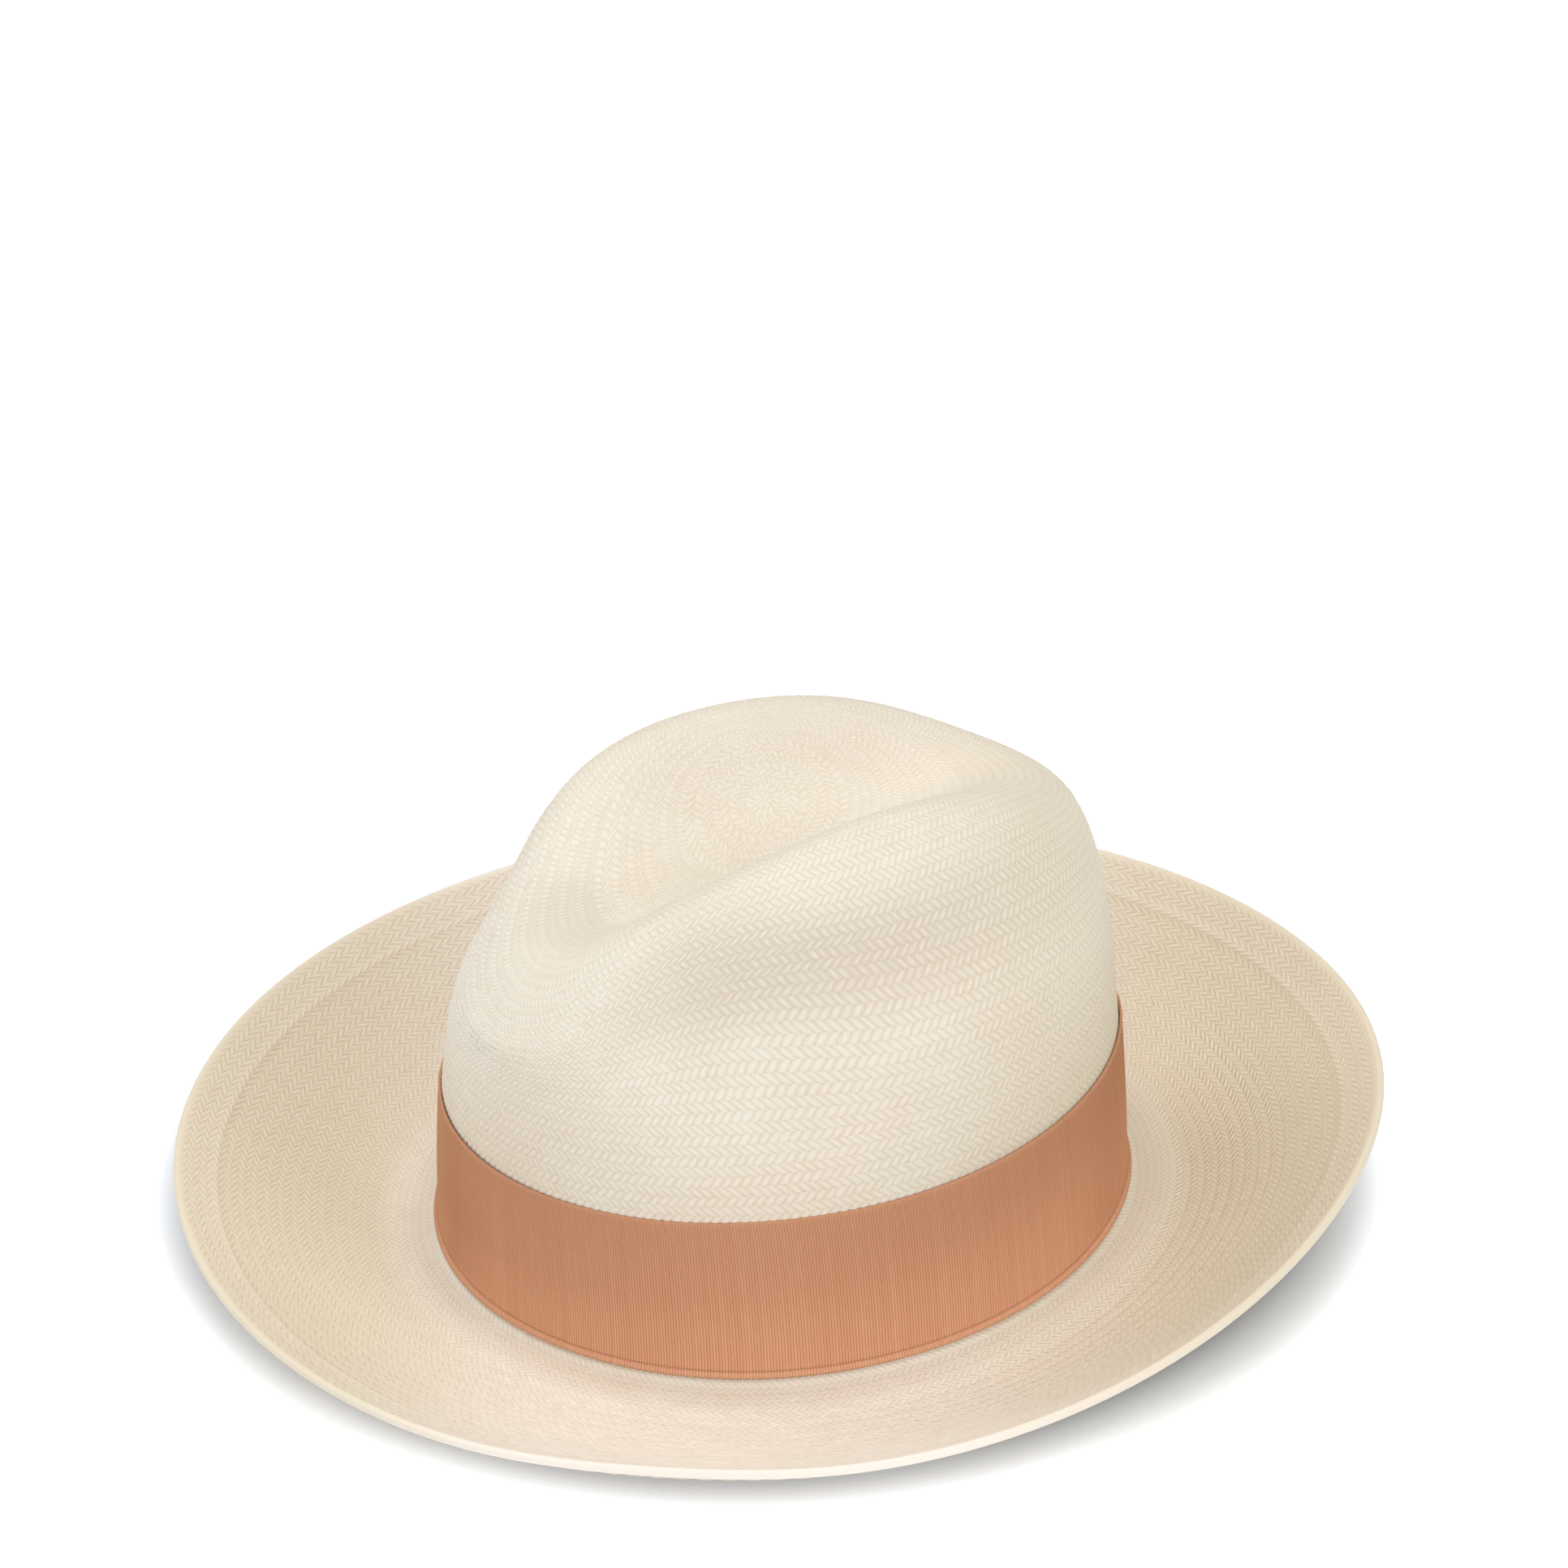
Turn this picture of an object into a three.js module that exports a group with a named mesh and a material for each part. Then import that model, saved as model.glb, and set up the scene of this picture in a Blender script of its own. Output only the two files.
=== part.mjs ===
// Panama hat: a fedora woven from straw in one piece, with a grosgrain ribbon and a flat bow outside and
// a reeded leather sweatband inside. Millimetres, +Z up. The wearer faces -Y and +X is the wearer's left.
// The hat stands on the flat ring of its brim, at z = 0, and its box is centred on x = 0, y = 0.

import * as THREE from 'three';
import { mergeVertices } from 'three/addons/utils/BufferGeometryUtils.js';

// ---------- Driving dimensions ----------

const SIDES = 48; // facets round the hat
const BRIM_STEPS = 10; // facets across the brim
const GAP = 0.35; // clearance between neighbouring pieces
const FACET_SLACK = 0.1; // extra clearance where curved layers are made of flat facets

const head = { halfLength: 99.2, halfWidth: 88.2, frontWidening: 0.04 };

const straw = { thickness: 1.2, hemThickness: 2.4, hemWidth: 12, edgeRound: 0.8 };

const crown = {
  foot: 3.2, // height of the ribbon's lower edge
  height: 139.5, // of the uncreased block above the foot
  squareness: 5.8, // exponent of the side profile
  lengthTaper: 3,
  widthTaper: 35,
  taperPower: 1.55,
  backSlope: 0.047,
};

// Depth and half-width of the centre dent: constant, linear and square terms, from -1 (front) to +1 (back).
const dent = { depth: [35.5, -14.3, -12.5], halfWidth: [27.6, -6.4, 21], startsAt: 0.45, fullAt: 0.93 };

const pinch = { depth: 13, y: -50.6, z: 92.1, halfLength: 32.4, halfHeight: 28.2, lean: 0.16, softness: 30 };

// Width and edge height round the hat: mean, then cosine and sine terms counted from the front.
const brim = {
  fillet: 5,
  flatWidth: 16, // distance from the crown to where the brim starts to rise
  flatShare: 0.2, // share of the brim's facets that the flat takes
  curlPower: 1.5,
  width: { mean: 72.3, cos: [1.7, -3.6], sin: [] },
  rise: { mean: 28.4, cos: [-7.3, -1, 1.1, -0.4], sin: [4.6, -3] },
};

const ribbon = { height: 45, thickness: 0.7 };
const bow = {
  halfSpan: 31,
  tailSpan: 37,
  notch: 9, // depth of the V that is cut into the tails
  layer: 0.6,
  loopDepth: 3.2,
  knotHalfWidth: 7.5,
  inset: 2.5, // from the ribbon's edges to the tails
  loopInset: 3.5,
  knotInset: 1.5,
};
const sweatband = { top: 34, bottom: 4.2, thickness: 1, wallGap: 1.2, seamGap: 1 };
const reed = { radius: 0.9, z: 2.3 };
const tape = { thickness: 0.35, radius: 1.35, outerArm: 9, innerArm: 7.5 };
const thread = { radius: 0.25, wave: 0.3 };
const tack = { angle: 0.1, reach: 2, overEdge: 0.4, sink: 0.3 }; // angle from the hat's middle plane
const seamBow = { z: 14, halfWidth: 8, halfHeight: 3, halfWaist: 0.36, endBulge: 1.15, thickness: 0.8 };
const sizeTag = { halfWidth: 9, low: 16, high: 41, thickness: 0.25, wallGap: 0.5 };

const finish = {
  straw: { color: 0xeee7d7, roughness: 0.7, metalness: 0 },
  ribbon: { color: 0xcc8f6c, roughness: 0.6, metalness: 0 },
  leather: { color: 0xb98a5e, roughness: 0.55, metalness: 0 },
  thread: { color: 0xe9dfc8, roughness: 0.8, metalness: 0 },
  reed: { color: 0xf2efe6, roughness: 0.4, metalness: 0 },
  tag: { color: 0xf7f4ec, roughness: 0.6, metalness: 0 },
};

// ---------- Shape of the straw ----------

const polynomial = ([a, b, c], t) => a + b * t + c * t * t;

function harmonic({ mean, cos, sin }, angle) {
  const cosines = cos.reduce((sum, size, i) => sum + size * Math.cos((i + 1) * angle), 0);
  const sines = sin.reduce((sum, size, i) => sum + size * Math.sin((i + 1) * angle), 0);
  return mean + cosines + sines;
}

// Outline of the head, as the straw's outer face at the foot of the crown.
function headOval(theta) {
  const x = head.halfWidth * Math.cos(theta) * (1 - head.frontWidening * Math.sin(theta));
  return new THREE.Vector2(x, head.halfLength * Math.sin(theta));
}

function headNormal(theta) {
  const step = 1e-4;
  const along = headOval(theta + step).sub(headOval(theta - step));
  return new THREE.Vector2(along.y, -along.x).normalize();
}

// A place at the given distance outside the head oval and at the given height.
function outside(theta, distance, z) {
  const place = headOval(theta).addScaledVector(headNormal(theta), distance);
  return new THREE.Vector3(place.x, place.y, z);
}

// Side profile of the block as a superellipse: share 0 is the crown's tip, share 1 is the foot.
const corner = 2 ** (-1 / crown.squareness);
const otherSide = (value) => (1 - value ** crown.squareness) ** (1 / crown.squareness);

function blockProfile(share) {
  if (share < 0.5) {
    const radius = 2 * share * corner;
    return { radius, level: otherSide(radius) };
  }
  const level = 2 * (1 - share) * corner;
  return { radius: otherSide(level), level };
}

function crownPoint(theta, share) {
  const { radius, level } = blockProfile(share);
  const taper = level ** crown.taperPower;
  const along = Math.sin(theta) * radius;
  const y = (head.halfLength - crown.lengthTaper * taper) * along;
  const lengthwise = y / head.halfLength;
  let x = (head.halfWidth - crown.widthTaper * taper) * Math.cos(theta) * radius;
  x *= 1 - head.frontWidening * lengthwise;
  const blockZ = crown.height * level * (1 - crown.backSlope * lengthwise * level);
  const dentShare = THREE.MathUtils.smoothstep(level, dent.startsAt, dent.fullAt);
  const across = x / polynomial(dent.halfWidth, lengthwise);
  const z = crown.foot + blockZ - polynomial(dent.depth, lengthwise) * dentShare * Math.exp(-across * across);
  const up = (z - pinch.z) / pinch.halfHeight;
  const forward = (y - pinch.y - pinch.lean * (z - pinch.z)) / pinch.halfLength;
  const push = pinch.depth * Math.exp(-up * up - forward * forward);
  x -= Math.sign(x) * push * Math.min(1, Math.abs(x) / pinch.softness);
  return new THREE.Vector3(x, y, z);
}

// The share of the side profile at a given height above the foot, low on the crown.
const wallShare = (z) => 1 - Math.max(0, z - crown.foot) / crown.height / (2 * corner);

const filletTop = straw.thickness + brim.fillet;
const crownEnd = wallShare(filletTop);

// Upper face of the straw. Section 0 to 1 is the crown, 1 to 2 the fillet and 2 to 3 the brim.
function strawTop(theta, section) {
  if (section <= 1) {
    return crownPoint(theta, section * crownEnd);
  }
  if (section <= 2) {
    const turn = (section - 1) * Math.PI / 2;
    const distance = brim.fillet * (1 - Math.cos(turn));
    return outside(theta, distance, filletTop - brim.fillet * Math.sin(turn));
  }
  const oval = headOval(theta);
  const fromFront = Math.atan2(oval.x, -oval.y);
  const share = section - 2;
  const curled = Math.max(0, share - brim.flatShare) / (1 - brim.flatShare);
  const level = THREE.MathUtils.lerp(brim.fillet, brim.flatWidth, Math.min(1, share / brim.flatShare));
  const distance = THREE.MathUtils.lerp(level, harmonic(brim.width, fromFront), curled);
  const rise = harmonic(brim.rise, fromFront) * curled ** brim.curlPower;
  return outside(theta, distance, straw.thickness + rise);
}

function strawNormal(theta, section) {
  const step = 1e-3;
  const place = Math.max(section, 2 * step);
  const around = strawTop(theta + step, place).sub(strawTop(theta - step, place));
  const outwards = strawTop(theta, Math.min(place + step, 3)).sub(strawTop(theta, place - step));
  return outwards.cross(around).normalize();
}

// Low on the crown: a place outside its wall, at a height where the wall is smooth.
function wallPoint(theta, z, distance) {
  const wall = crownPoint(theta, wallShare(z));
  const normal = headNormal(theta);
  return new THREE.Vector3(wall.x + normal.x * distance, wall.y + normal.y * distance, z);
}

// How far the fillet stands out from the wall at a given height.
function filletReach(z) {
  const drop = THREE.MathUtils.clamp(filletTop - z, 0, brim.fillet);
  return brim.fillet - Math.sqrt(brim.fillet ** 2 - drop ** 2);
}

// ---------- Making closed meshes ----------

const hat = new THREE.Group();

function addMesh(name, geometry, look) {
  const mesh = new THREE.Mesh(geometry, new THREE.MeshStandardMaterial(look));
  mesh.name = name;
  hat.add(mesh);
  return mesh;
}

function enclosedVolume(points, triangles) {
  return triangles.reduce((sum, [a, b, c]) => {
    return sum + points[a].dot(new THREE.Vector3().crossVectors(points[b], points[c])) / 6;
  }, 0);
}

// One closed body from points and triangles. Triangles with coinciding corners are left out.
function closedGeometry(points, triangles) {
  const same = (a, b) => points[a].distanceToSquared(points[b]) < 1e-12;
  const kept = triangles.filter(([a, b, c]) => !same(a, b) && !same(b, c) && !same(c, a));
  const facing = enclosedVolume(points, kept) > 0 ? kept : kept.map(([a, b, c]) => [a, c, b]);
  const geometry = new THREE.BufferGeometry();
  geometry.setAttribute('position', new THREE.Float32BufferAttribute(points.flatMap((p) => p.toArray()), 3));
  geometry.setIndex(facing.flat());
  const merged = mergeVertices(geometry, 1e-4);
  merged.computeVertexNormals();
  return merged;
}

const grid = (rows, columns, place) =>
  Array.from({ length: rows }, (_, i) => Array.from({ length: columns }, (_, j) => place(i, j)));

// A sheet with thickness: two grids of points, joined along their free borders. Rows may run round.
function sheetGeometry(front, back, runsRound) {
  const rows = front.length;
  const columns = front[0].length;
  const points = [...front.flat(), ...back.flat()];
  const triangles = [];
  const quad = (a, b, c, d) => triangles.push([a, b, c], [a, c, d]);
  const onFront = (i, j) => (i % rows) * columns + j;
  const onBack = (i, j) => rows * columns + onFront(i, j);
  const steps = runsRound ? rows : rows - 1;
  for (let i = 0; i < steps; i += 1) {
    for (let j = 0; j < columns - 1; j += 1) {
      quad(onFront(i, j), onFront(i + 1, j), onFront(i + 1, j + 1), onFront(i, j + 1));
      quad(onBack(i, j), onBack(i, j + 1), onBack(i + 1, j + 1), onBack(i + 1, j));
    }
    quad(onFront(i, 0), onBack(i, 0), onBack(i + 1, 0), onFront(i + 1, 0));
    const last = columns - 1;
    quad(onFront(i, last), onFront(i + 1, last), onBack(i + 1, last), onBack(i, last));
  }
  for (let j = 0; j < columns - 1 && !runsRound; j += 1) {
    quad(onFront(0, j), onFront(0, j + 1), onBack(0, j + 1), onBack(0, j));
    const last = rows - 1;
    quad(onFront(last, j), onBack(last, j), onBack(last, j + 1), onFront(last, j + 1));
  }
  return closedGeometry(points, triangles);
}

// A round cord that closes on itself: rings of points, one for each place along the cord.
function cordGeometry(rings) {
  const rows = rings.length;
  const columns = rings[0].length;
  const at = (i, j) => (i % rows) * columns + (j % columns);
  const triangles = [];
  for (let i = 0; i < rows; i += 1) {
    for (let j = 0; j < columns; j += 1) {
      triangles.push([at(i, j), at(i + 1, j), at(i + 1, j + 1)], [at(i, j), at(i + 1, j + 1), at(i, j + 1)]);
    }
  }
  return closedGeometry(rings.flat(), triangles);
}

// Reads a closed curve round the hat along the straight facets that the straw has.
function alongFacets(share, place) {
  const facet = Math.floor(share * SIDES);
  const theta = (step) => ((facet + step) / SIDES) * 2 * Math.PI;
  return place(theta(0)).lerp(place(theta(1)), share * SIDES - facet);
}

const evenly = (count) => Array.from({ length: count }, (_, i) => i / (count - 1));
const angles = evenly(SIDES + 1).slice(0, SIDES).map((share) => share * 2 * Math.PI);

// ---------- Straw ----------

// Section of the last row of facets before the edge, which lies on the folded hem, and of the row where the
// hem's thickness sets in.
const hemRow = 3 - 1 / BRIM_STEPS;
const hemStart = hemRow - 0.07;

function strawSections() {
  const crownRows = evenly(17);
  const filletRows = [4 / 3, 5 / 3];
  const brimRows = evenly(BRIM_STEPS + 1).map((share) => 2 + share);
  return [...crownRows, ...filletRows, ...brimRows, hemStart].sort((a, b) => a - b);
}

// The folded hem makes the straw thicker, on its underside, near the edge.
function strawThickness(theta, section) {
  const edge = strawTop(theta, 3);
  const fromEdge = edge.distanceTo(strawTop(theta, section));
  const folded = THREE.MathUtils.smoothstep(straw.hemWidth + 1 - fromEdge, 0, 1);
  return THREE.MathUtils.lerp(straw.thickness, straw.hemThickness, section > 2 ? folded : 0);
}

function strawUnderside(theta, section) {
  const thickness = strawThickness(theta, section);
  return strawTop(theta, section).addScaledVector(strawNormal(theta, section), -thickness);
}

function strawEdge(theta) {
  const middle = strawTop(theta, 3).lerp(strawUnderside(theta, 3), 0.5);
  const outwards = strawTop(theta, 3).sub(strawTop(theta, 2.99)).setLength(straw.edgeRound);
  return middle.add(outwards);
}

function addStraw() {
  const rows = strawSections();
  const front = angles.map((theta) => [...rows.map((section) => strawTop(theta, section)), strawEdge(theta)]);
  const back = angles.map((theta) => {
    const under = rows.map((section) => strawUnderside(theta, section));
    return [...under, under[rows.length - 1]];
  });
  addMesh('straw_body', sheetGeometry(front, back, true), finish.straw);
}

// The thread under the brim that holds down the folded hem.
function addHemThread() {
  const places = 4 * SIDES;
  const cord = Array.from({ length: places }, (_, i) => {
    const share = i / places;
    const lift = GAP + thread.radius * (i % 2 ? 1 : 2);
    const under = alongFacets(share, (theta) => strawUnderside(theta, hemRow));
    const normal = alongFacets(share, (theta) => strawNormal(theta, hemRow)).normalize();
    const centre = under.clone().addScaledVector(normal, -lift);
    const outwards = new THREE.Vector3(centre.x, centre.y, 0).normalize();
    return crossRing(centre, outwards, normal, thread.radius, 4);
  });
  addMesh('hem_thread', cordGeometry(cord), finish.thread);
}

function crossRing(centre, sideways, upwards, radius, sides) {
  return Array.from({ length: sides }, (_, k) => {
    const turn = (k / sides) * 2 * Math.PI;
    return centre.clone()
      .addScaledVector(sideways, radius * Math.cos(turn))
      .addScaledVector(upwards, radius * Math.sin(turn));
  });
}

// ---------- Ribbon and bow ----------

// A place on the outside of the ribbon's wall: z is the height above the ribbon's lower edge.
function ribbonPoint(theta, height, distance) {
  const z = crown.foot + height;
  return wallPoint(theta, z, filletReach(z) + distance);
}

function addRibbon() {
  const heights = [0, 1.5, 3, ...evenly(4).slice(1).map((share) => 3 + share * (ribbon.height - 3))];
  const layer = (distance) => angles.map((theta) => heights.map((h) => ribbonPoint(theta, h, distance)));
  addMesh('ribbon_band', sheetGeometry(layer(GAP + ribbon.thickness), layer(GAP), true), finish.ribbon);
}

// The bow sits on the wearer's right. Distance along the band is turned into an angle there.
const bowAngle = (along) => Math.PI + along / head.halfLength;

const bowLevel = {
  tails: 2 * GAP + ribbon.thickness + FACET_SLACK,
  loops: 3 * GAP + ribbon.thickness + bow.layer + 2 * FACET_SLACK,
};
bowLevel.knot = bowLevel.loops + bow.loopDepth + GAP;

// Under layer: a flat strip whose ends are cut to a V.
function addBowTails() {
  const low = bow.inset;
  const high = ribbon.height - bow.inset;
  const layer = (distance) => grid(9, 5, (i, j) => {
    const up = j / 4;
    const reach = bow.tailSpan - bow.notch * (1 - Math.abs(2 * up - 1));
    const along = reach * (i / 4 - 1);
    return ribbonPoint(bowAngle(along), THREE.MathUtils.lerp(low, high, up), distance);
  });
  const geometry = sheetGeometry(layer(bowLevel.tails + bow.layer), layer(bowLevel.tails), false);
  addMesh('bow_tails', geometry, finish.ribbon);
}

// Upper layer: the ribbon folded back on itself, a flattened loop that is open above and below.
function addBowLoops() {
  const middle = bow.loopDepth / 2;
  const straight = bow.halfSpan - middle;
  const endSteps = 4;
  const flatSteps = 6;
  const roundEnd = (side, radius) => evenly(endSteps + 1).map((share) => {
    const turn = (share - 0.5) * Math.PI;
    return [side * (straight + radius * Math.cos(turn)), middle + side * radius * Math.sin(turn)];
  });
  const flatRun = (side, radius) => evenly(flatSteps + 1).slice(1, -1).map((share) => {
    return [side * straight * (1 - 2 * share), middle + side * radius];
  });
  const half = (side, radius) => [...roundEnd(side, radius), ...flatRun(side, radius)];
  const outline = (radius) => [...half(1, radius), ...half(-1, radius)];
  const levels = [bow.loopInset, ribbon.height / 2, ribbon.height - bow.loopInset];
  const layer = (radius) => outline(radius).map(([along, depth]) =>
    levels.map((h) => ribbonPoint(bowAngle(along), h, bowLevel.loops + depth)));
  addMesh('bow_loops', sheetGeometry(layer(middle), layer(middle - bow.layer), true), finish.ribbon);
}

// The wrap over the middle of the bow, turned in at the ribbon's upper and lower edges.
function addBowKnot() {
  const low = bow.knotInset;
  const high = ribbon.height - bow.knotInset;
  const inner = bowLevel.tails;
  const path = (grown) => [
    [low - grown, inner],
    [low - grown, bowLevel.knot - bow.layer],
    [low + bow.layer, bowLevel.knot + grown],
    [ribbon.height / 2, bowLevel.knot + grown],
    [high - bow.layer, bowLevel.knot + grown],
    [high + grown, bowLevel.knot - bow.layer],
    [high + grown, inner],
  ];
  const layer = (grown) => path(grown).map(([height, distance]) =>
    evenly(4).map((share) => {
      const along = bow.knotHalfWidth * (2 * share - 1);
      return ribbonPoint(bowAngle(along), height, distance);
    }));
  addMesh('bow_knot', sheetGeometry(layer(bow.layer), layer(0), false), finish.ribbon);
}

// Short stitches over the ribbon's upper edge that hold it to the crown.
function addRibbonTack(name, theta) {
  const lift = GAP + thread.radius;
  const steps = [
    [ribbon.height - tack.reach, ribbon.thickness + GAP + lift],
    [ribbon.height + tack.overEdge, ribbon.thickness + GAP + lift],
    [ribbon.height + tack.reach, lift + tack.sink],
  ];
  const places = steps.map(([height, distance]) => ribbonPoint(theta, height, distance));
  const path = new THREE.CatmullRomCurve3(places);
  const section = new THREE.Shape().absarc(0, 0, thread.radius, 0, 2 * Math.PI);
  const geometry = new THREE.ExtrudeGeometry(section, { steps: 6, curveSegments: 3, extrudePath: path });
  addMesh(name, geometry, finish.thread);
}

// ---------- Sweatband ----------

// A place inside the crown: depth is measured inwards from the straw's outer face.
const insidePoint = (theta, z, depth) => wallPoint(theta, z, -depth);

const sweatbandOuter = straw.thickness + sweatband.wallGap;
const sweatbandInner = sweatbandOuter + sweatband.thickness;
const reedDepth = sweatbandOuter + sweatband.thickness / 2;

// Leather strip whose ends meet at the back.
function addSweatband() {
  const back = Math.PI / 2;
  const halfSeam = sweatband.seamGap / 2 / head.halfWidth;
  const turns = evenly(SIDES + 1).map((share) => back + share * 2 * Math.PI);
  turns[0] += halfSeam;
  turns[SIDES] -= halfSeam;
  const levels = evenly(4).map((share) => THREE.MathUtils.lerp(sweatband.bottom, sweatband.top, share));
  const layer = (depth) => turns.map((theta) => levels.map((z) => insidePoint(theta, z, depth)));
  addMesh('sweatband', sheetGeometry(layer(sweatbandOuter), layer(sweatbandInner), false), finish.leather);
}

function addReed() {
  const rings = angles.map((theta) => {
    const centre = insidePoint(theta, reed.z, reedDepth);
    const normal = headNormal(theta);
    const sideways = new THREE.Vector3(normal.x, normal.y, 0);
    return crossRing(centre, sideways, new THREE.Vector3(0, 0, 1), reed.radius, 6);
  });
  addMesh('sweatband_reed', cordGeometry(rings), finish.reed);
}

// A narrow tape folded under the reed, with one arm on each side of the leather.
function addReedTape() {
  const bend = evenly(5).map((share) => Math.PI * (1 + share));
  const section = (radius) => [
    [tape.outerArm, reedDepth - radius],
    ...bend.map((turn) => [reed.z + radius * Math.sin(turn), reedDepth + radius * Math.cos(turn)]),
    [tape.innerArm, reedDepth + radius],
  ];
  const layer = (radius) => angles.map((theta) =>
    section(radius).map(([z, depth]) => insidePoint(theta, z, depth)));
  const half = tape.thickness / 2;
  const geometry = sheetGeometry(layer(tape.radius + half), layer(tape.radius - half), true);
  addMesh('reed_tape', geometry, finish.thread);
}

// A thread that runs round the inside of the hat and waves up and down with its stitches.
function addInsideThread(name, { z, depth }) {
  const places = 2 * SIDES;
  const rings = Array.from({ length: places }, (_, i) => {
    const waved = z + (i % 2 ? thread.wave : -thread.wave);
    const centre = alongFacets(i / places, (theta) => insidePoint(theta, waved, depth));
    const inwards = new THREE.Vector3(centre.x, centre.y, 0).normalize();
    return crossRing(centre, inwards, new THREE.Vector3(0, 0, 1), thread.radius, 4);
  });
  addMesh(name, cordGeometry(rings), finish.thread);
}

// Small bow over the seam at the back of the sweatband.
function addSeamBow() {
  const { halfWidth, halfHeight, halfWaist, endBulge, thickness } = seamBow;
  const outline = new THREE.Shape();
  outline.moveTo(-halfWidth, -halfHeight);
  outline.quadraticCurveTo(0, -2 * halfWaist, halfWidth, -halfHeight);
  outline.quadraticCurveTo(halfWidth * endBulge, 0, halfWidth, halfHeight);
  outline.quadraticCurveTo(0, 2 * halfWaist, -halfWidth, halfHeight);
  outline.quadraticCurveTo(-halfWidth * endBulge, 0, -halfWidth, -halfHeight);
  const settings = { depth: thickness, bevelEnabled: false, curveSegments: 5 };
  const geometry = new THREE.ExtrudeGeometry(outline, settings);
  const mesh = addMesh('sweatband_seam_bow', geometry, finish.ribbon);
  mesh.rotation.x = Math.PI / 2;
  mesh.position.copy(insidePoint(Math.PI / 2, seamBow.z, sweatbandInner + 2 * GAP));
}

// Blank tag tucked behind the top of the sweatband, on the wearer's left.
function addSizeTag() {
  const depth = straw.thickness + sizeTag.wallGap;
  const layer = (distance) => grid(5, 4, (i, j) => {
    const theta = (sizeTag.halfWidth * (i / 2 - 1)) / head.halfLength;
    return insidePoint(theta, THREE.MathUtils.lerp(sizeTag.low, sizeTag.high, j / 3), distance);
  });
  addMesh('size_tag', sheetGeometry(layer(depth), layer(depth + sizeTag.thickness), false), finish.tag);
}

// Heights and depths of the two inside threads: one lies on the tape, the other lower, behind the tape.
const upperStitch = { z: 6.2, depth: reedDepth + tape.radius + tape.thickness / 2 + GAP + thread.radius };
const lowerStitch = { z: 2, depth: 0.5 };

// ---------- The hat ----------

addStraw();
addHemThread();
addRibbon();
addBowTails();
addBowLoops();
addBowKnot();
addRibbonTack('ribbon_tack_front', -Math.PI / 2 - tack.angle);
addRibbonTack('ribbon_tack_back', Math.PI / 2 + tack.angle);
addSweatband();
addReed();
addReedTape();
addInsideThread('sweatband_thread', upperStitch);
addInsideThread('body_thread', lowerStitch);
addSeamBow();
addSizeTag();

const box = new THREE.Box3().setFromObject(hat);
const middle = box.getCenter(new THREE.Vector3());
hat.position.set(-middle.x, -middle.y, -box.min.z);

export default hat;
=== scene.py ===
"""Panama hat around its CAD frame: woven straw with real relief, ribbed ribbon and bow, leather sweatband."""

import math

import bpy
import numpy as np
from mathutils import Matrix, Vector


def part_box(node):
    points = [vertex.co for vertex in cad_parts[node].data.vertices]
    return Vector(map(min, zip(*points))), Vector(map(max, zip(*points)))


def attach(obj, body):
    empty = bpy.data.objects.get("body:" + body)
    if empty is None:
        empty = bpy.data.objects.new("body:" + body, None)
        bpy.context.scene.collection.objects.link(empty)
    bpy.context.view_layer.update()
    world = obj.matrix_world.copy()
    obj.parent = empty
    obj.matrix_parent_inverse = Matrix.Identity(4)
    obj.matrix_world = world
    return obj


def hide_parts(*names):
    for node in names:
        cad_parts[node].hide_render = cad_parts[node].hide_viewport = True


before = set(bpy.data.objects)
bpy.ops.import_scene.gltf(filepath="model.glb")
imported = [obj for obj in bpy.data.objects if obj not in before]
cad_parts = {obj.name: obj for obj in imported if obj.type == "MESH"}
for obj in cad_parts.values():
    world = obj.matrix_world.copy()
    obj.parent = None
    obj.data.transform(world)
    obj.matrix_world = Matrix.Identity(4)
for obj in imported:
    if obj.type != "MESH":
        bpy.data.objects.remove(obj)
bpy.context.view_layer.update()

MM = 0.001
TURN = 2 * math.pi
rng = np.random.default_rng(7)

# ---------- Driving dimensions, in millimetres ----------

HEAD_LENGTH, HEAD_WIDTH, FRONT_WIDENING = 99.2, 88.2, 0.04  # half-axes of the head oval
STRAW, HEM_STRAW = 1.2, 2.4  # thickness of the straw, and of its folded hem
FOOT = 3.2  # height of the ribbon's lower edge
BLOCK_HEIGHT, SQUARENESS = 139.5, 5.8
LENGTH_TAPER, WIDTH_TAPER, TAPER_POWER, BACK_SLOPE = 3.0, 35.0, 1.55, 0.047
DENT_DEPTH = (35.5, -14.3, -12.5)
DENT_HALF_WIDTH = (27.6, -6.4, 21.0)
DENT_START, DENT_FULL = 0.45, 0.93
PINCH_DEPTH, PINCH_Y, PINCH_Z = 13.0, -50.6, 92.1
PINCH_HALF_LENGTH, PINCH_HALF_HEIGHT, PINCH_LEAN, PINCH_SOFTNESS = 32.4, 28.2, 0.16, 30.0
FILLET, FLAT_WIDTH, FLAT_SHARE, CURL_POWER = 5.0, 16.0, 0.2, 1.5
BRIM_WIDTH = (72.3, (1.7, -3.6), ())
BRIM_RISE = (28.4, (-7.3, -1.0, 1.1, -0.4), (4.6, -3.0))

RIBBON_HEIGHT, RIBBON_THICK = 45.0, 0.7
GAP = 0.35
RIB, RIB_RELIEF = 0.78, 0.07  # pitch of the ribs, and how far they stand out

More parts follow.
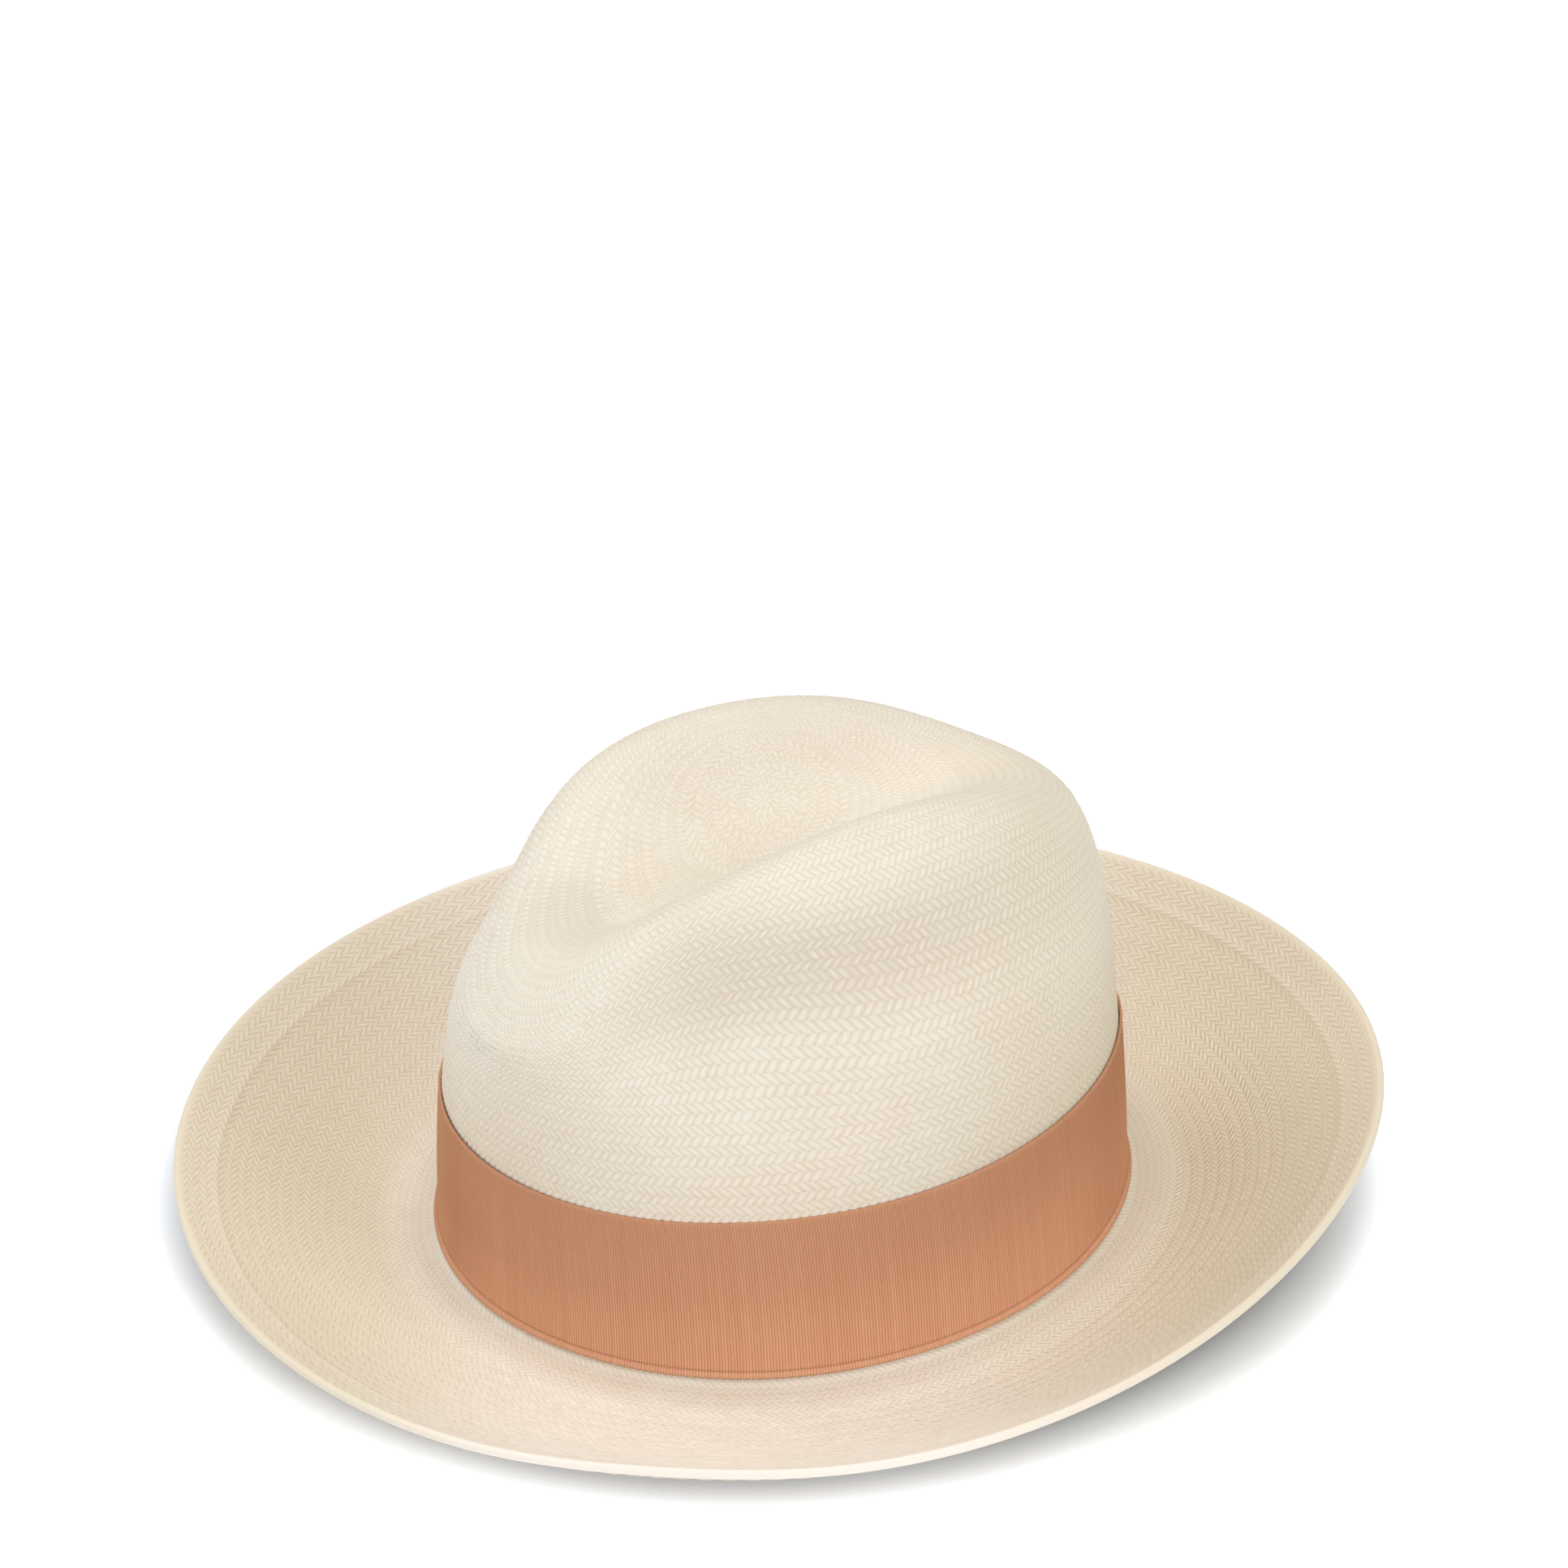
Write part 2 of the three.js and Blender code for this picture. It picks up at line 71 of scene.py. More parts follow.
BOW_HALF_SPAN, BOW_TAIL_SPAN, BOW_NOTCH, BOW_INSET = 31.0, 37.0, 9.0, 2.5
BOW_LAYER, LOOP_DEPTH, LOOP_PUFF, KNOT_HALF_WIDTH = 0.6, 3.2, 2.6, 7.5
BAND_TOP, BAND_BOTTOM, BAND_THICK, BAND_WALL_GAP, BAND_SEAM = 34.0, 4.2, 1.0, 1.2, 1.0
REED_RADIUS, REED_Z = 0.9, 2.3
TAPE_THICK, TAPE_RADIUS, TAPE_OUTER_ARM, TAPE_INNER_ARM = 0.35, 1.35, 9.0, 7.5
THREAD_RADIUS = 0.25
HEM_THREAD_SECTION, BAND_THREAD_Z, BODY_THREAD_Z = 2.9, 6.2, 2.0
HEM_STITCHES, BAND_STITCHES, BODY_STITCHES = 170, 190, 150
HEM_SINK, BAND_SINK, BODY_SINK = 0.7, 0.8, 0.32  # how far each thread sinks between its stitches
TAG_HALF_WIDTH, TAG_BOTTOM, TAG_TOP, TAG_THICK = 9.0, 16.0, 41.0, 0.25
SEAM_BOW_Z = 14.0

# Weave
CROWN_ROW, BRIM_ROW = 2.55, 2.1  # height of a row of straws
CROWN_CELL = 2.66  # widest straw of the crown; a row that would be wider gets twice the straws
FIRST_CELLS = 7  # straws in the first row of the rosette
BRIM_CELLS = 304  # straws in each row of the brim; the change is under the ribbon
RIBBON_COVERS = 0.93  # section of the crown where the change is
RELIEF, BRIM_RELIEF = 0.13, 0.15
SLANT, BRIM_SLANT = 0.45, 0.6  # share of a cell that a straw leans to each side
HEM_ROWS = 5.7  # width of the folded hem, in rows
CREST_SHARPNESS, CREST_REACH = 1.3, 0.03  # how much creases are sharpened, and over what share of the crown
ROSETTE_SHIFT = (-0.30, 0.04)  # the rosette sits off the crease, on the wearer's right
LIP_RISE, LIP_ANGLE, LIP_SPREAD = 1.8, 0.73, 0.24  # the edge is turned up a little more at one place
HOLLOW_DEPTH, HOLLOW_Y, HOLLOW_Z = 3.0, -12.0, 104.0  # soft hollow in the crown's sides below the crest
HOLLOW_HALF_LENGTH, HOLLOW_HALF_HEIGHT = 46.0, 14.0
HEM_RIDGE, HEM_RIDGE_ROWS = 0.32, 0.45  # height and half width, in rows, of the line where the hem ends

band_low, band_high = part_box("ribbon_band")
HEAD_CENTRE = np.array([(band_low[0] + band_high[0]) / 2, (band_low[1] + band_high[1]) / 2, 0.0]) / MM


# ---------- Shape of the straw: the CAD model's formulas, with sharper creases, a hollow and a lip ----------

def polynomial(terms, t):
    return terms[0] + terms[1] * t + terms[2] * t * t


def harmonic(terms, angle):
    """A mean value plus cosine and sine waves round the hat."""
    mean, cosines, sines = terms
    total = mean
    for wave, sizes in ((np.cos, cosines), (np.sin, sines)):
        for i, size in enumerate(sizes):
            total = total + size * wave((i + 1) * angle)
    return total


def smoothstep(value, start, end):
    t = np.clip((value - start) / (end - start), 0, 1)
    return t * t * (3 - 2 * t)


def head_oval(theta):
    x = HEAD_WIDTH * np.cos(theta) * (1 - FRONT_WIDENING * np.sin(theta))
    return x, HEAD_LENGTH * np.sin(theta)


def head_normal(theta):
    """Outward direction from the head oval."""
    step = 1e-4
    x1, y1 = head_oval(theta + step)
    x0, y0 = head_oval(theta - step)
    length = np.hypot(x1 - x0, y1 - y0)
    return (y1 - y0) / length, (x0 - x1) / length


def away_from_head(theta):
    """Level vectors of length 1 that point away from the head oval."""
    nx, ny = head_normal(theta)
    return np.stack([nx, ny, 0 * nx], -1)


def outside(theta, distance, z):
    x, y = head_oval(theta)
    nx, ny = head_normal(theta)
    return np.stack([x + nx * distance, y + ny * distance, z + 0 * x], -1)


CORNER = 2 ** (-1 / SQUARENESS)


def other_side(value):
    """The other coordinate of a place on the block's superellipse."""
    return np.maximum(1 - value ** SQUARENESS, 0) ** (1 / SQUARENESS)


def block_profile(share):
    """Radius and level of the block, from its tip (share 0) to its foot (share 1)."""
    near_tip = share < 0.5
    radius = np.where(near_tip, 2 * share * CORNER, other_side(2 * (1 - np.maximum(share, 0.5)) * CORNER))
    level = np.where(near_tip, other_side(2 * np.minimum(share, 0.5) * CORNER), 2 * (1 - share) * CORNER)
    return radius, level


def crown_point(theta, share, shift=(0.0, 0.0)):
    """The pressed crown from tip to foot; shift moves the rosette, not the surface."""
    radius, level = block_profile(share)
    fade = np.clip(1 - (radius / CORNER) ** 2, 0, 1) ** 2
    across = np.cos(theta) * radius + shift[0] * fade
    along = np.sin(theta) * radius + shift[1] * fade
    level = np.where(fade > 0, other_side(np.hypot(across, along)), level)
    taper = level ** TAPER_POWER
    y = (HEAD_LENGTH - LENGTH_TAPER * taper) * along
    lengthwise = y / HEAD_LENGTH
    x = (HEAD_WIDTH - WIDTH_TAPER * taper) * across * (1 - FRONT_WIDENING * lengthwise)
    block_z = BLOCK_HEIGHT * level * (1 - BACK_SLOPE * lengthwise * level)
    dent = polynomial(DENT_DEPTH, lengthwise) * smoothstep(level, DENT_START, DENT_FULL)
    z = FOOT + block_z - dent * np.exp(-(x / polynomial(DENT_HALF_WIDTH, lengthwise)) ** 2)
    up = (z - PINCH_Z) / PINCH_HALF_HEIGHT
    forward = (y - PINCH_Y - PINCH_LEAN * (z - PINCH_Z)) / PINCH_HALF_LENGTH
    push = PINCH_DEPTH * np.exp(-up * up - forward * forward)
    push = push + HOLLOW_DEPTH * np.exp(-((z - HOLLOW_Z) / HOLLOW_HALF_HEIGHT) ** 2
                                        - ((y - HOLLOW_Y) / HOLLOW_HALF_LENGTH) ** 2)
    x = x - np.sign(x) * push * np.minimum(1, np.abs(x) / PINCH_SOFTNESS)
    return np.stack([x, y, z], -1)


def creased_crown(theta, share):
    """The crown with its creases pressed in sharper than on the block."""
    reach = np.minimum(np.minimum(CREST_REACH, share), np.maximum(0.9 - share, 0))
    here = crown_point(theta, share, ROSETTE_SHIFT)
    inside = crown_point(theta, share - reach, ROSETTE_SHIFT)
    beyond = crown_point(theta, share + reach, ROSETTE_SHIFT)
    return here + CREST_SHARPNESS * (here - (inside + beyond) / 2)


def wall_share(z):
    """The block's share where its wall is at about height z."""
    return 1 - np.maximum(0, z - FOOT) / BLOCK_HEIGHT / (2 * CORNER)


FILLET_TOP = STRAW + FILLET
CROWN_END = wall_share(FILLET_TOP)


def straw_top(theta, section):
    """Upper face of the straw: section 0 to 1 is the crown, 1 to 2 the fillet, 2 to 3 the brim."""
    theta, section = np.broadcast_arrays(theta, section)
    crown = creased_crown(theta, np.clip(section, 0, 1) * CROWN_END)
    turn = np.clip(section - 1, 0, 1) * math.pi / 2
    fillet = outside(theta, FILLET * (1 - np.cos(turn)), FILLET_TOP - FILLET * np.sin(turn))
    x, y = head_oval(theta)
    from_front = np.arctan2(x, -y)
    share = np.clip(section - 2, 0, 1)
    curled = np.maximum(0, share - FLAT_SHARE) / (1 - FLAT_SHARE)
    level = FILLET + (FLAT_WIDTH - FILLET) * np.minimum(1, share / FLAT_SHARE)
    distance = level + (harmonic(BRIM_WIDTH, from_front) - level) * curled
    lip = LIP_RISE * np.exp(-((from_front - LIP_ANGLE) / LIP_SPREAD) ** 2) * curled ** 6
    rise = harmonic(BRIM_RISE, from_front) * curled ** CURL_POWER
    brim = outside(theta, distance - 0.5 * lip, STRAW + rise + lip)
    place = section[..., None]
    return np.where(place <= 1, crown, np.where(place <= 2, fillet, brim))


def straw_normal(theta, section):
    """Directions of length 1 that point out of the straw's upper face."""
    theta, section = np.broadcast_arrays(theta, section)
    step = 1e-3
    place = np.maximum(section, 2 * step)
    around = straw_top(theta + step, place) - straw_top(theta - step, place)
    outwards = straw_top(theta, np.minimum(place + step, 3)) - straw_top(theta, place - step)
    normal = np.cross(outwards, around)
    return normal / np.linalg.norm(normal, axis=-1, keepdims=True)


def wall_point(theta, z, distance):
    theta, z, distance = np.broadcast_arrays(theta, z, distance)
    wall = crown_point(theta, wall_share(z))
    nx, ny = head_normal(theta)
    return np.stack([wall[..., 0] + nx * distance, wall[..., 1] + ny * distance, z + 0.0], -1)


def fillet_reach(z):
    """How far the fillet stands out from the wall at height z."""
    drop = np.clip(FILLET_TOP - z, 0, FILLET)
    return FILLET - np.sqrt(FILLET ** 2 - drop ** 2)


def ribbon_point(theta, height, distance):
    """A place outside the ribbon's wall; height is counted from the ribbon's lower edge."""
    z = FOOT + height
    return wall_point(theta, z, fillet_reach(z) + distance)


# ---------- Mesh helpers ----------

def add_object(name, data):
    item = bpy.data.objects.new(name, data)
    bpy.context.scene.collection.objects.link(item)
    return item


def add_piece(name, points, faces, uv, material, node_name, slot):
    """A mesh piece in the row frame that stands for its CAD node."""
    mesh = bpy.data.meshes.new(name)
    mesh.from_pydata(((points + HEAD_CENTRE) * MM).tolist(), [], faces)
    mesh.polygons.foreach_set("use_smooth", np.ones(len(mesh.polygons), bool))
    layer = mesh.uv_layers.new(name="weave")
    layer.uv.foreach_set("vector", np.asarray(uv, np.float32).ravel())
    mesh.materials.append(material)
    mesh.update()
    piece = add_object(name, mesh)
    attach(piece, "root")
    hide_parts(node_name)


def sheet(front, back, runs_round, scale):
    """Points, faces and UVs of a thick sheet from two grids of points. Rows may run round."""
    rows, columns = front.shape[:2]
    points = np.concatenate([front.reshape(-1, 3), back.reshape(-1, 3)])
    back_side = rows * columns

    def at(row, column):
        return (row % rows) * columns + column

    def uv(row, column):
        return np.stack(np.broadcast_arrays(row * scale[0], column * scale[1]), -1)

    quads, uvs = [], []

    def add_quads(corners, places, turned=False):
        quads.append(np.stack(corners[::-1] if turned else corners, -1))
        uvs.append(np.stack(places[::-1] if turned else places, 1))

    def add_rim(start, end, turned):
        """Faces that join the two sides along one edge, between two (row, column) places."""
        corners = [at(*start), back_side + at(*start), back_side + at(*end), at(*end)]
        add_quads(corners, [uv(*start), uv(*start), uv(*end), uv(*end)], turned)

    row_steps = np.arange(rows if runs_round else rows - 1)
    i, j = (grid.ravel() for grid in np.meshgrid(row_steps, np.arange(columns - 1), indexing="ij"))
    around = [(i, j), (i + 1, j), (i + 1, j + 1), (i, j + 1)]
    add_quads([at(*place) for place in around], [uv(*place) for place in around])
    around = [(i, j), (i, j + 1), (i + 1, j + 1), (i + 1, j)]
    add_quads([back_side + at(*place) for place in around], [uv(*place) for place in around])
    add_rim((row_steps, 0), (row_steps + 1, 0), False)
    add_rim((row_steps, columns - 1), (row_steps + 1, columns - 1), True)
    if not runs_round:
        column_steps = np.arange(columns - 1)
        add_rim((0, column_steps), (0, column_steps + 1), True)
        add_rim((rows - 1, column_steps), (rows - 1, column_steps + 1), False)
    return points, np.concatenate(quads), np.concatenate(uvs).reshape(-1, 2)


def facing_out(points, faces, uv):
    """Turns all faces over if the closed mesh encloses a negative volume."""
    a, b, c, d = (points[faces[:, k]] for k in range(4))
    volume = np.einsum("ij,ij->", a, np.cross(b, c)) + np.einsum("ij,ij->", a, np.cross(c, d))
    if volume < 0:
        faces = faces[:, ::-1]
        uv = uv.reshape(-1, 4, 2)[:, ::-1].reshape(-1, 2)
    return points, faces.tolist(), uv


def add_sheet(name, front, back, runs_round, material, node_name, slot, scale=(1.0, 1.0)):
    mesh = facing_out(*sheet(front, back, runs_round, scale))
    add_piece(name, *mesh, material, node_name, slot)


def add_cord(name, centres, sideways, upwards, radius, material, node_name, slot, sides=8):
    """Round cord along a closed row of centres."""
    turns = np.arange(sides) / sides * TURN
    rings = (centres[:, None] + radius * np.cos(turns)[None, :, None] * sideways[:, None]
             + radius * np.sin(turns)[None, :, None] * upwards[:, None])
    rows = len(centres)
    i, j = (grid.ravel() for grid in np.meshgrid(np.arange(rows), np.arange(sides), indexing="ij"))

    def at(row, column):
        return (row % rows) * sides + column % sides

    around = [(i, j), (i + 1, j), (i + 1, j + 1), (i, j + 1)]
    faces = np.stack([at(*place) for place in around], -1)
    uv = np.stack([np.stack(place, -1) for place in around], 1)
    mesh = facing_out(rings.reshape(-1, 3), faces, uv.reshape(-1, 2).astype(float))
    add_piece(name, *mesh, material, node_name, slot)


# ---------- Materials ----------

STRAW_PALE, STRAW_WARM, STRAW_HEM = (0.82, 0.765, 0.66), (0.81, 0.72, 0.61), (0.90, 0.79, 0.69)
# Painted light and shade: the first colour on the next line makes the brim lighter, the second is a warm
# shade painted at the brim's ends and on one side of the hat
STRAW_PAINTED_LIGHT, STRAW_YELLOW_SHADE = (0.98, 0.905, 0.81), (0.74, 0.65, 0.46)
# painted shade below the crest on the crown's sides and at the dent's front end
STRAW_PAINTED_SHADE = (0.60, 0.50, 0.40)
# Next line: random straw tone and painted shade on every other brim row, then fibre grain and a painted
# highlight, then painted shade between the straws
STRAW_TONE_AND_SHADE, STRAW_GRAIN_AND_HIGHLIGHT, STRAW_GAP_SHADE = (0.70, 0.60, 0.44), (0.92, 0.87, 0.75), (0.50, 0.40, 0.26)

YARN_DEEP, YARN_BRIGHT = (0.755, 0.385, 0.236), (0.84, 0.47, 0.302)
YARN_WORN, YARN_BAND = (0.70, 0.335, 0.19), (0.69, 0.33, 0.185)
# Ribbon: the first colour is painted shade in the rib grooves, the second a woven dark line beside the
# selvage, the third painted shade on the ribbon's upper part and where it is seen at a flat angle
RIB_GROOVE_SHADE, SELVAGE_LINE, RIBBON_SHADE = (0.46, 0.19, 0.095), (0.40, 0.16, 0.08), (0.50, 0.235, 0.125)

# Where painted shade and painted light are placed on the straw, in metres from the frame's origin, with
# directions of length 1
TO_BACK_LEFT, TO_LEFT = (0.553, 0.833, 0.0), (0.852, 0.523, 0.0)
# painted shade at the dent's front end: its centre, and the distances where it is full and where it ends
DENT_FRONT, DENT_FRONT_REACH = (-0.007, -0.063, 0.107), (0.006, 0.018)
SHADE_BAND_FROM, SHADE_BAND_TO = (0.086, 0.104), (0.114, 0.132)  # heights where the painted shade band on the crown's sides begins and ends
SHADE_BAND_OUT_FROM = (0.025, 0.045)  # the band's distance from the hat's middle plane

# Where the weave and its painted light and shade change, as shares of all rows, counted from the tip
TIP_ENDS, BRIM_BEGINS, PAINTED_LIGHT_ENDS = (0.10, 0.30), (0.70, 0.75), (0.84, 0.90)

# What sets the gap at a straw's border, which gets painted shade and a dip in the bump, on the crown and on
# the brim
SIDES_GAP, ENDS_GAP, CORNERS_GAP = (0.78, 1.0), (0.26, 0.4), (0.2, -0.6)


class Nodes:
    """Short way to build a node material."""

    def __init__(self, name, roughness, specular):
        self.material = bpy.data.materials.new(name)
        self.material.use_nodes = True
        self.tree = self.material.node_tree
        self.shader = self.tree.nodes["Principled BSDF"]
        self.shader.inputs["Roughness"].default_value = roughness
        self.shader.inputs["Specular IOR Level"].default_value = specular

    def put(self, socket, value):
        if isinstance(value, bpy.types.NodeSocket):
            self.tree.links.new(value, socket)
        elif socket.type == "RGBA":
            socket.default_value = (*value, 1)
        else:
            socket.default_value = value

    def make(self, kind, values, output=0, **settings):
        """A node whose inputs are given in their order."""
        made = self.tree.nodes.new(kind)
        for key, setting in settings.items():
            setattr(made, key, setting)
        for socket, value in zip(made.inputs, values):
            self.put(socket, value)
        return made.outputs[output]

    def node(self, kind, output=0, **inputs):
        """A node whose inputs are given by name."""
        made = self.tree.nodes.new(kind)
        for key, value in inputs.items():
            if key in made.inputs:
                self.put(made.inputs[key], value)
            else:
                setattr(made, key, value)
        return made.outputs[output]

    def math(self, operation, *values):
        return self.make("ShaderNodeMath", values, operation=operation)

    def plus(self, total, *terms):
        for term in terms:
            total = self.math("ADD", total, term)
        return total

    def minus(self, value, taken):
        return self.math("SUBTRACT", value, taken)

    def times(self, product, *factors):
        for factor in factors:
            product = self.math("MULTIPLY", product, factor)
        return product

    def size(self, value):
        return self.math("ABSOLUTE", value)

    def off_middle(self, value):
        """How far a value is from the middle between two whole numbers: -0.5 to 0.5."""
        return self.minus(self.math("FRACT", value), 0.5)

    def ramp(self, value, start, end, low=0.0, high=1.0):
        values = (value, start, end, low, high)
        return self.make("ShaderNodeMapRange", values, interpolation_type="SMOOTHSTEP")

    def mix(self, factor, *colours):
        made = self.tree.nodes.new("ShaderNodeMix")
        made.data_type = "RGBA"
        self.put(made.inputs[0], factor)
        for socket, colour in zip((socket for socket in made.inputs if socket.type == "RGBA"), colours):
            self.put(socket, colour)
        return next(socket for socket in made.outputs if socket.type == "RGBA")

    def coats(self, colour, *layers):
        """A colour with others laid over it, each by its own factor."""
        for factor, coat in layers:
            colour = self.mix(factor, colour, coat)
        return colour

    def combine(self, x, y, z=0.0):
        return self.make("ShaderNodeCombineXYZ", (x, y, z))

    def split(self, vector):
        return self.make("ShaderNodeSeparateXYZ", [vector]).node.outputs

    def uv(self):
        return self.split(self.node("ShaderNodeUVMap", uv_map="weave"))[:2]

    def position(self):
        return self.node("ShaderNodeTexCoord", 3)

    def distance(self, place):
        return self.make("ShaderNodeVectorMath", (self.position(), place), 1, operation="DISTANCE")

    def towards(self, direction):
        """How far the shaded place lies in a direction."""
        return self.make("ShaderNodeVectorMath", (self.position(), direction), 1, operation="DOT_PRODUCT")

    def noise(self, vector, scale, detail=2.0):
        return self.node("ShaderNodeTexNoise", Vector=vector, Scale=scale, Detail=detail)

    def random(self, *numbers):
        return self.node("ShaderNodeTexWhiteNoise", Vector=self.combine(*numbers))

    def finish(self, colour, height=None, distance=0.1, strength=1.0):
        """Sets the colour and the bump; distance is the bump's depth in millimetres."""
        self.put(self.shader.inputs["Base Color"], colour)
        if height is not None:
            bump = self.node("ShaderNodeBump", Height=height, Distance=distance * MM, Strength=strength)
            self.put(self.shader.inputs["Normal"], bump)
        return self.material


def straw_ground(n, v, rows, brim):
    """Tone of the straw below its weave: random patches, painted shade below the crest and at the dent's
    front end, a brim painted lighter, painted yellow shade at the brim's ends and on one side, and the hem.
    """
    x, _, z = n.split(n.position())
    # pressed is painted shade, not pressed or worn straw: a band below the crest on the crown's sides, and a
    # spot at the dent's front end, are coloured darker where shade falls
    pressed = n.times(n.ramp(z, *SHADE_BAND_FROM), n.ramp(z, *SHADE_BAND_TO, 1.0, 0.0),
                      n.ramp(n.size(x), *SHADE_BAND_OUT_FROM))
    pressed = n.plus(pressed, n.ramp(n.distance(DENT_FRONT), *DENT_FRONT_REACH, 0.8, 0.0))
    # painted shade: the brim's two ends across the view, and one side of the whole hat, are coloured yellower
    # and darker where they lie in shade
    side = n.towards(TO_BACK_LEFT)
    shaded_brim_ends = n.times(n.ramp(n.size(side), 0.06, 0.13), brim)
    patches = n.noise(n.position(), 26.0)
    return n.coats(
        n.mix(n.ramp(patches, 0.35, 0.65), STRAW_PALE, STRAW_WARM),
        (n.times(pressed, 0.5), STRAW_PAINTED_SHADE),
        # painted light: the whole brim is coloured lighter than the crown
        (n.times(brim, 0.9), STRAW_PAINTED_LIGHT),
        (n.times(shaded_brim_ends, 0.92), STRAW_YELLOW_SHADE),
        (n.ramp(side, 0.03, 0.08, 0.0, 0.4), STRAW_YELLOW_SHADE),
        (n.ramp(v, rows - HEM_ROWS - 0.4, rows - HEM_ROWS + 0.2, 0.0, 0.28), STRAW_HEM),
    )


def straw_gap(n, from_middle, from_ends, brim, painted_light_side):
    """How much of a gap between straws a place is, from the straw's middle (0) to its border (1); it sets the
    painted shade between straws and a dip in the bump, and is wider on the side of the brim towards the
    light.
    """
    sides = n.math("POWER", from_middle, 1.6)
    border = n.plus(
        n.times(sides, n.ramp(brim, 0.0, 1.0, *SIDES_GAP)),
        n.times(from_ends, n.ramp(brim, 0.0, 1.0, *ENDS_GAP)),
        n.times(sides, from_ends, n.ramp(brim, 0.0, 1.0, *CORNERS_GAP)),
    )
    return n.ramp(border, 0.2, n.minus(1.1, n.times(painted_light_side, 0.3)))


def straw_material(rows):
    """Split straws: each one has its own tone and grain; the gaps between them get painted shade, each straw
    a painted highlight along its middle, and every other brim row painted shade, strongest on the side of the
    brim towards the light.
    """
    n = Nodes("woven_straw", roughness=0.55, specular=0.3)
    u, v = n.uv()
    straw = n.math("FLOOR", n.plus(u, 0.5))
    row = n.math("FLOOR", v)
    odd = n.math("GREATER_THAN", n.math("FRACT", n.times(row, 0.5)), 0.25)
    tone = n.random(straw, row)
    row_tone = n.random(row, 3.0)
    grain = n.noise(n.combine(n.times(u, 9.0), n.times(v, 0.8), row), 1.0, 3.0)

    def past(shares, low, high):
        return n.ramp(v, rows * shares[0], rows * shares[1], low, high)

    brim = past(BRIM_BEGINS, 0.0, 1.0)
    inside_edge = n.ramp(v, rows - 0.9, rows - 0.1, 1.0, 0.0)
    # painted light and shade: on the side of the brim towards the light, rows whose straws lean one way get
    # brighter highlights and darker gaps and the other rows softer ones; it fades out towards the edge
    painted_light_side = n.times(n.ramp(n.towards(TO_LEFT), 0.05, 0.11), brim, past(PAINTED_LIGHT_ENDS, 1.0, 0.1))

    from_middle = n.size(n.times(n.off_middle(n.plus(u, 0.5)), 2.0))
    from_ends = n.math("POWER", n.size(n.times(n.off_middle(v), 1.9)), 3.0)
    gap = n.times(straw_gap(n, from_middle, from_ends, brim, painted_light_side), inside_edge)
    # how deep the painted shade between straws is: lighter near the rosette, and on the brim's lit side
    # deeper on every other row
    gap_shade_depth = n.plus(past(TIP_ENDS, 0.22, 0.37), n.times(n.minus(0.55, odd), painted_light_side, 0.55))
    # painted highlight along the middle of each straw, stronger on every other row where painted light falls
    # on the brim
    shine = n.ramp(n.plus(from_middle, n.times(from_ends, 0.6)), 0.05, 0.5, 1.0, 0.0)
    glow = n.times(n.plus(n.times(n.minus(1.0, odd), painted_light_side, 0.5), 0.32), inside_edge,
                   n.plus(n.times(tone, 1.1), 0.4))

    colour = n.coats(
        straw_ground(n, v, rows, brim),
        (n.times(tone, inside_edge, 0.3), STRAW_TONE_AND_SHADE),
        (n.times(row_tone, 0.05), STRAW_TONE_AND_SHADE),
        # painted shade: every other row of the brim is darker, as if its straws lean away from the light
        (n.times(odd, brim, inside_edge, 0.12), STRAW_TONE_AND_SHADE),
        # painted highlight along each straw; the next layer is real fibre grain
        (n.times(shine, glow), STRAW_GRAIN_AND_HIGHLIGHT),
        (n.times(n.ramp(grain, 0.3, 0.75, 0.0, 0.15), inside_edge), STRAW_GRAIN_AND_HIGHLIGHT),
        # painted shade between the straws
        (n.times(gap, gap_shade_depth), STRAW_GAP_SHADE),
    )
    return n.finish(colour, n.minus(n.times(grain, 0.25), gap), 0.12, 0.6)


def ribbon_material(name, line_row=None):
    """Grosgrain: fine ribs with uneven yarns, and a dark line along line_row beside the selvage. Painted
    shade darkens the grooves between the ribs, the upper part of the ribbon and the parts seen at a flat
    angle.
    """
    n = Nodes(name, roughness=0.75, specular=0.15)
    rib, along = n.uv()
    yarn = n.random(n.math("FLOOR", rib), 1.0)
    groove = n.ramp(n.size(n.off_middle(rib)), 0.28, 0.5)
    wobble = n.noise(n.combine(n.times(rib, 0.35), n.times(along, 0.8)), 1.0, 3.0)
    bands = n.noise(n.combine(n.times(rib, 0.9), n.times(along, 0.02)), 0.6)
    height = n.split(n.position())[2]
    turned_away = n.node("ShaderNodeLayerWeight", 1, Blend=0.5)
    colour = n.coats(
        n.mix(n.times(yarn, 0.6), YARN_DEEP, YARN_BRIGHT),
        (n.ramp(wobble, 0.3, 0.7, 0.0, 0.2), YARN_WORN),
        (n.ramp(bands, 0.35, 0.65, 0.0, 0.25), YARN_BAND),
        # painted shade in the grooves between the ribs
        (n.times(groove, 0.8), RIB_GROOVE_SHADE),
    )
    if line_row:
        line = n.ramp(n.size(n.minus(along, line_row)), 0.0, 1.0, 0.55, 0.0)
        colour = n.mix(line, colour, SELVAGE_LINE)
    # painted shade: darker towards the top of the ribbon, and where it is seen at a flat angle
    colour = n.coats(
        colour,
        (n.ramp(height, 0.01, 0.052, 0.0, 0.62), RIBBON_SHADE),
        (n.ramp(turned_away, 0.47, 0.75, 0.0, 0.5), RIBBON_SHADE),
    )
    return n.finish(colour, n.minus(1.0, groove), 0.12, 0.7)


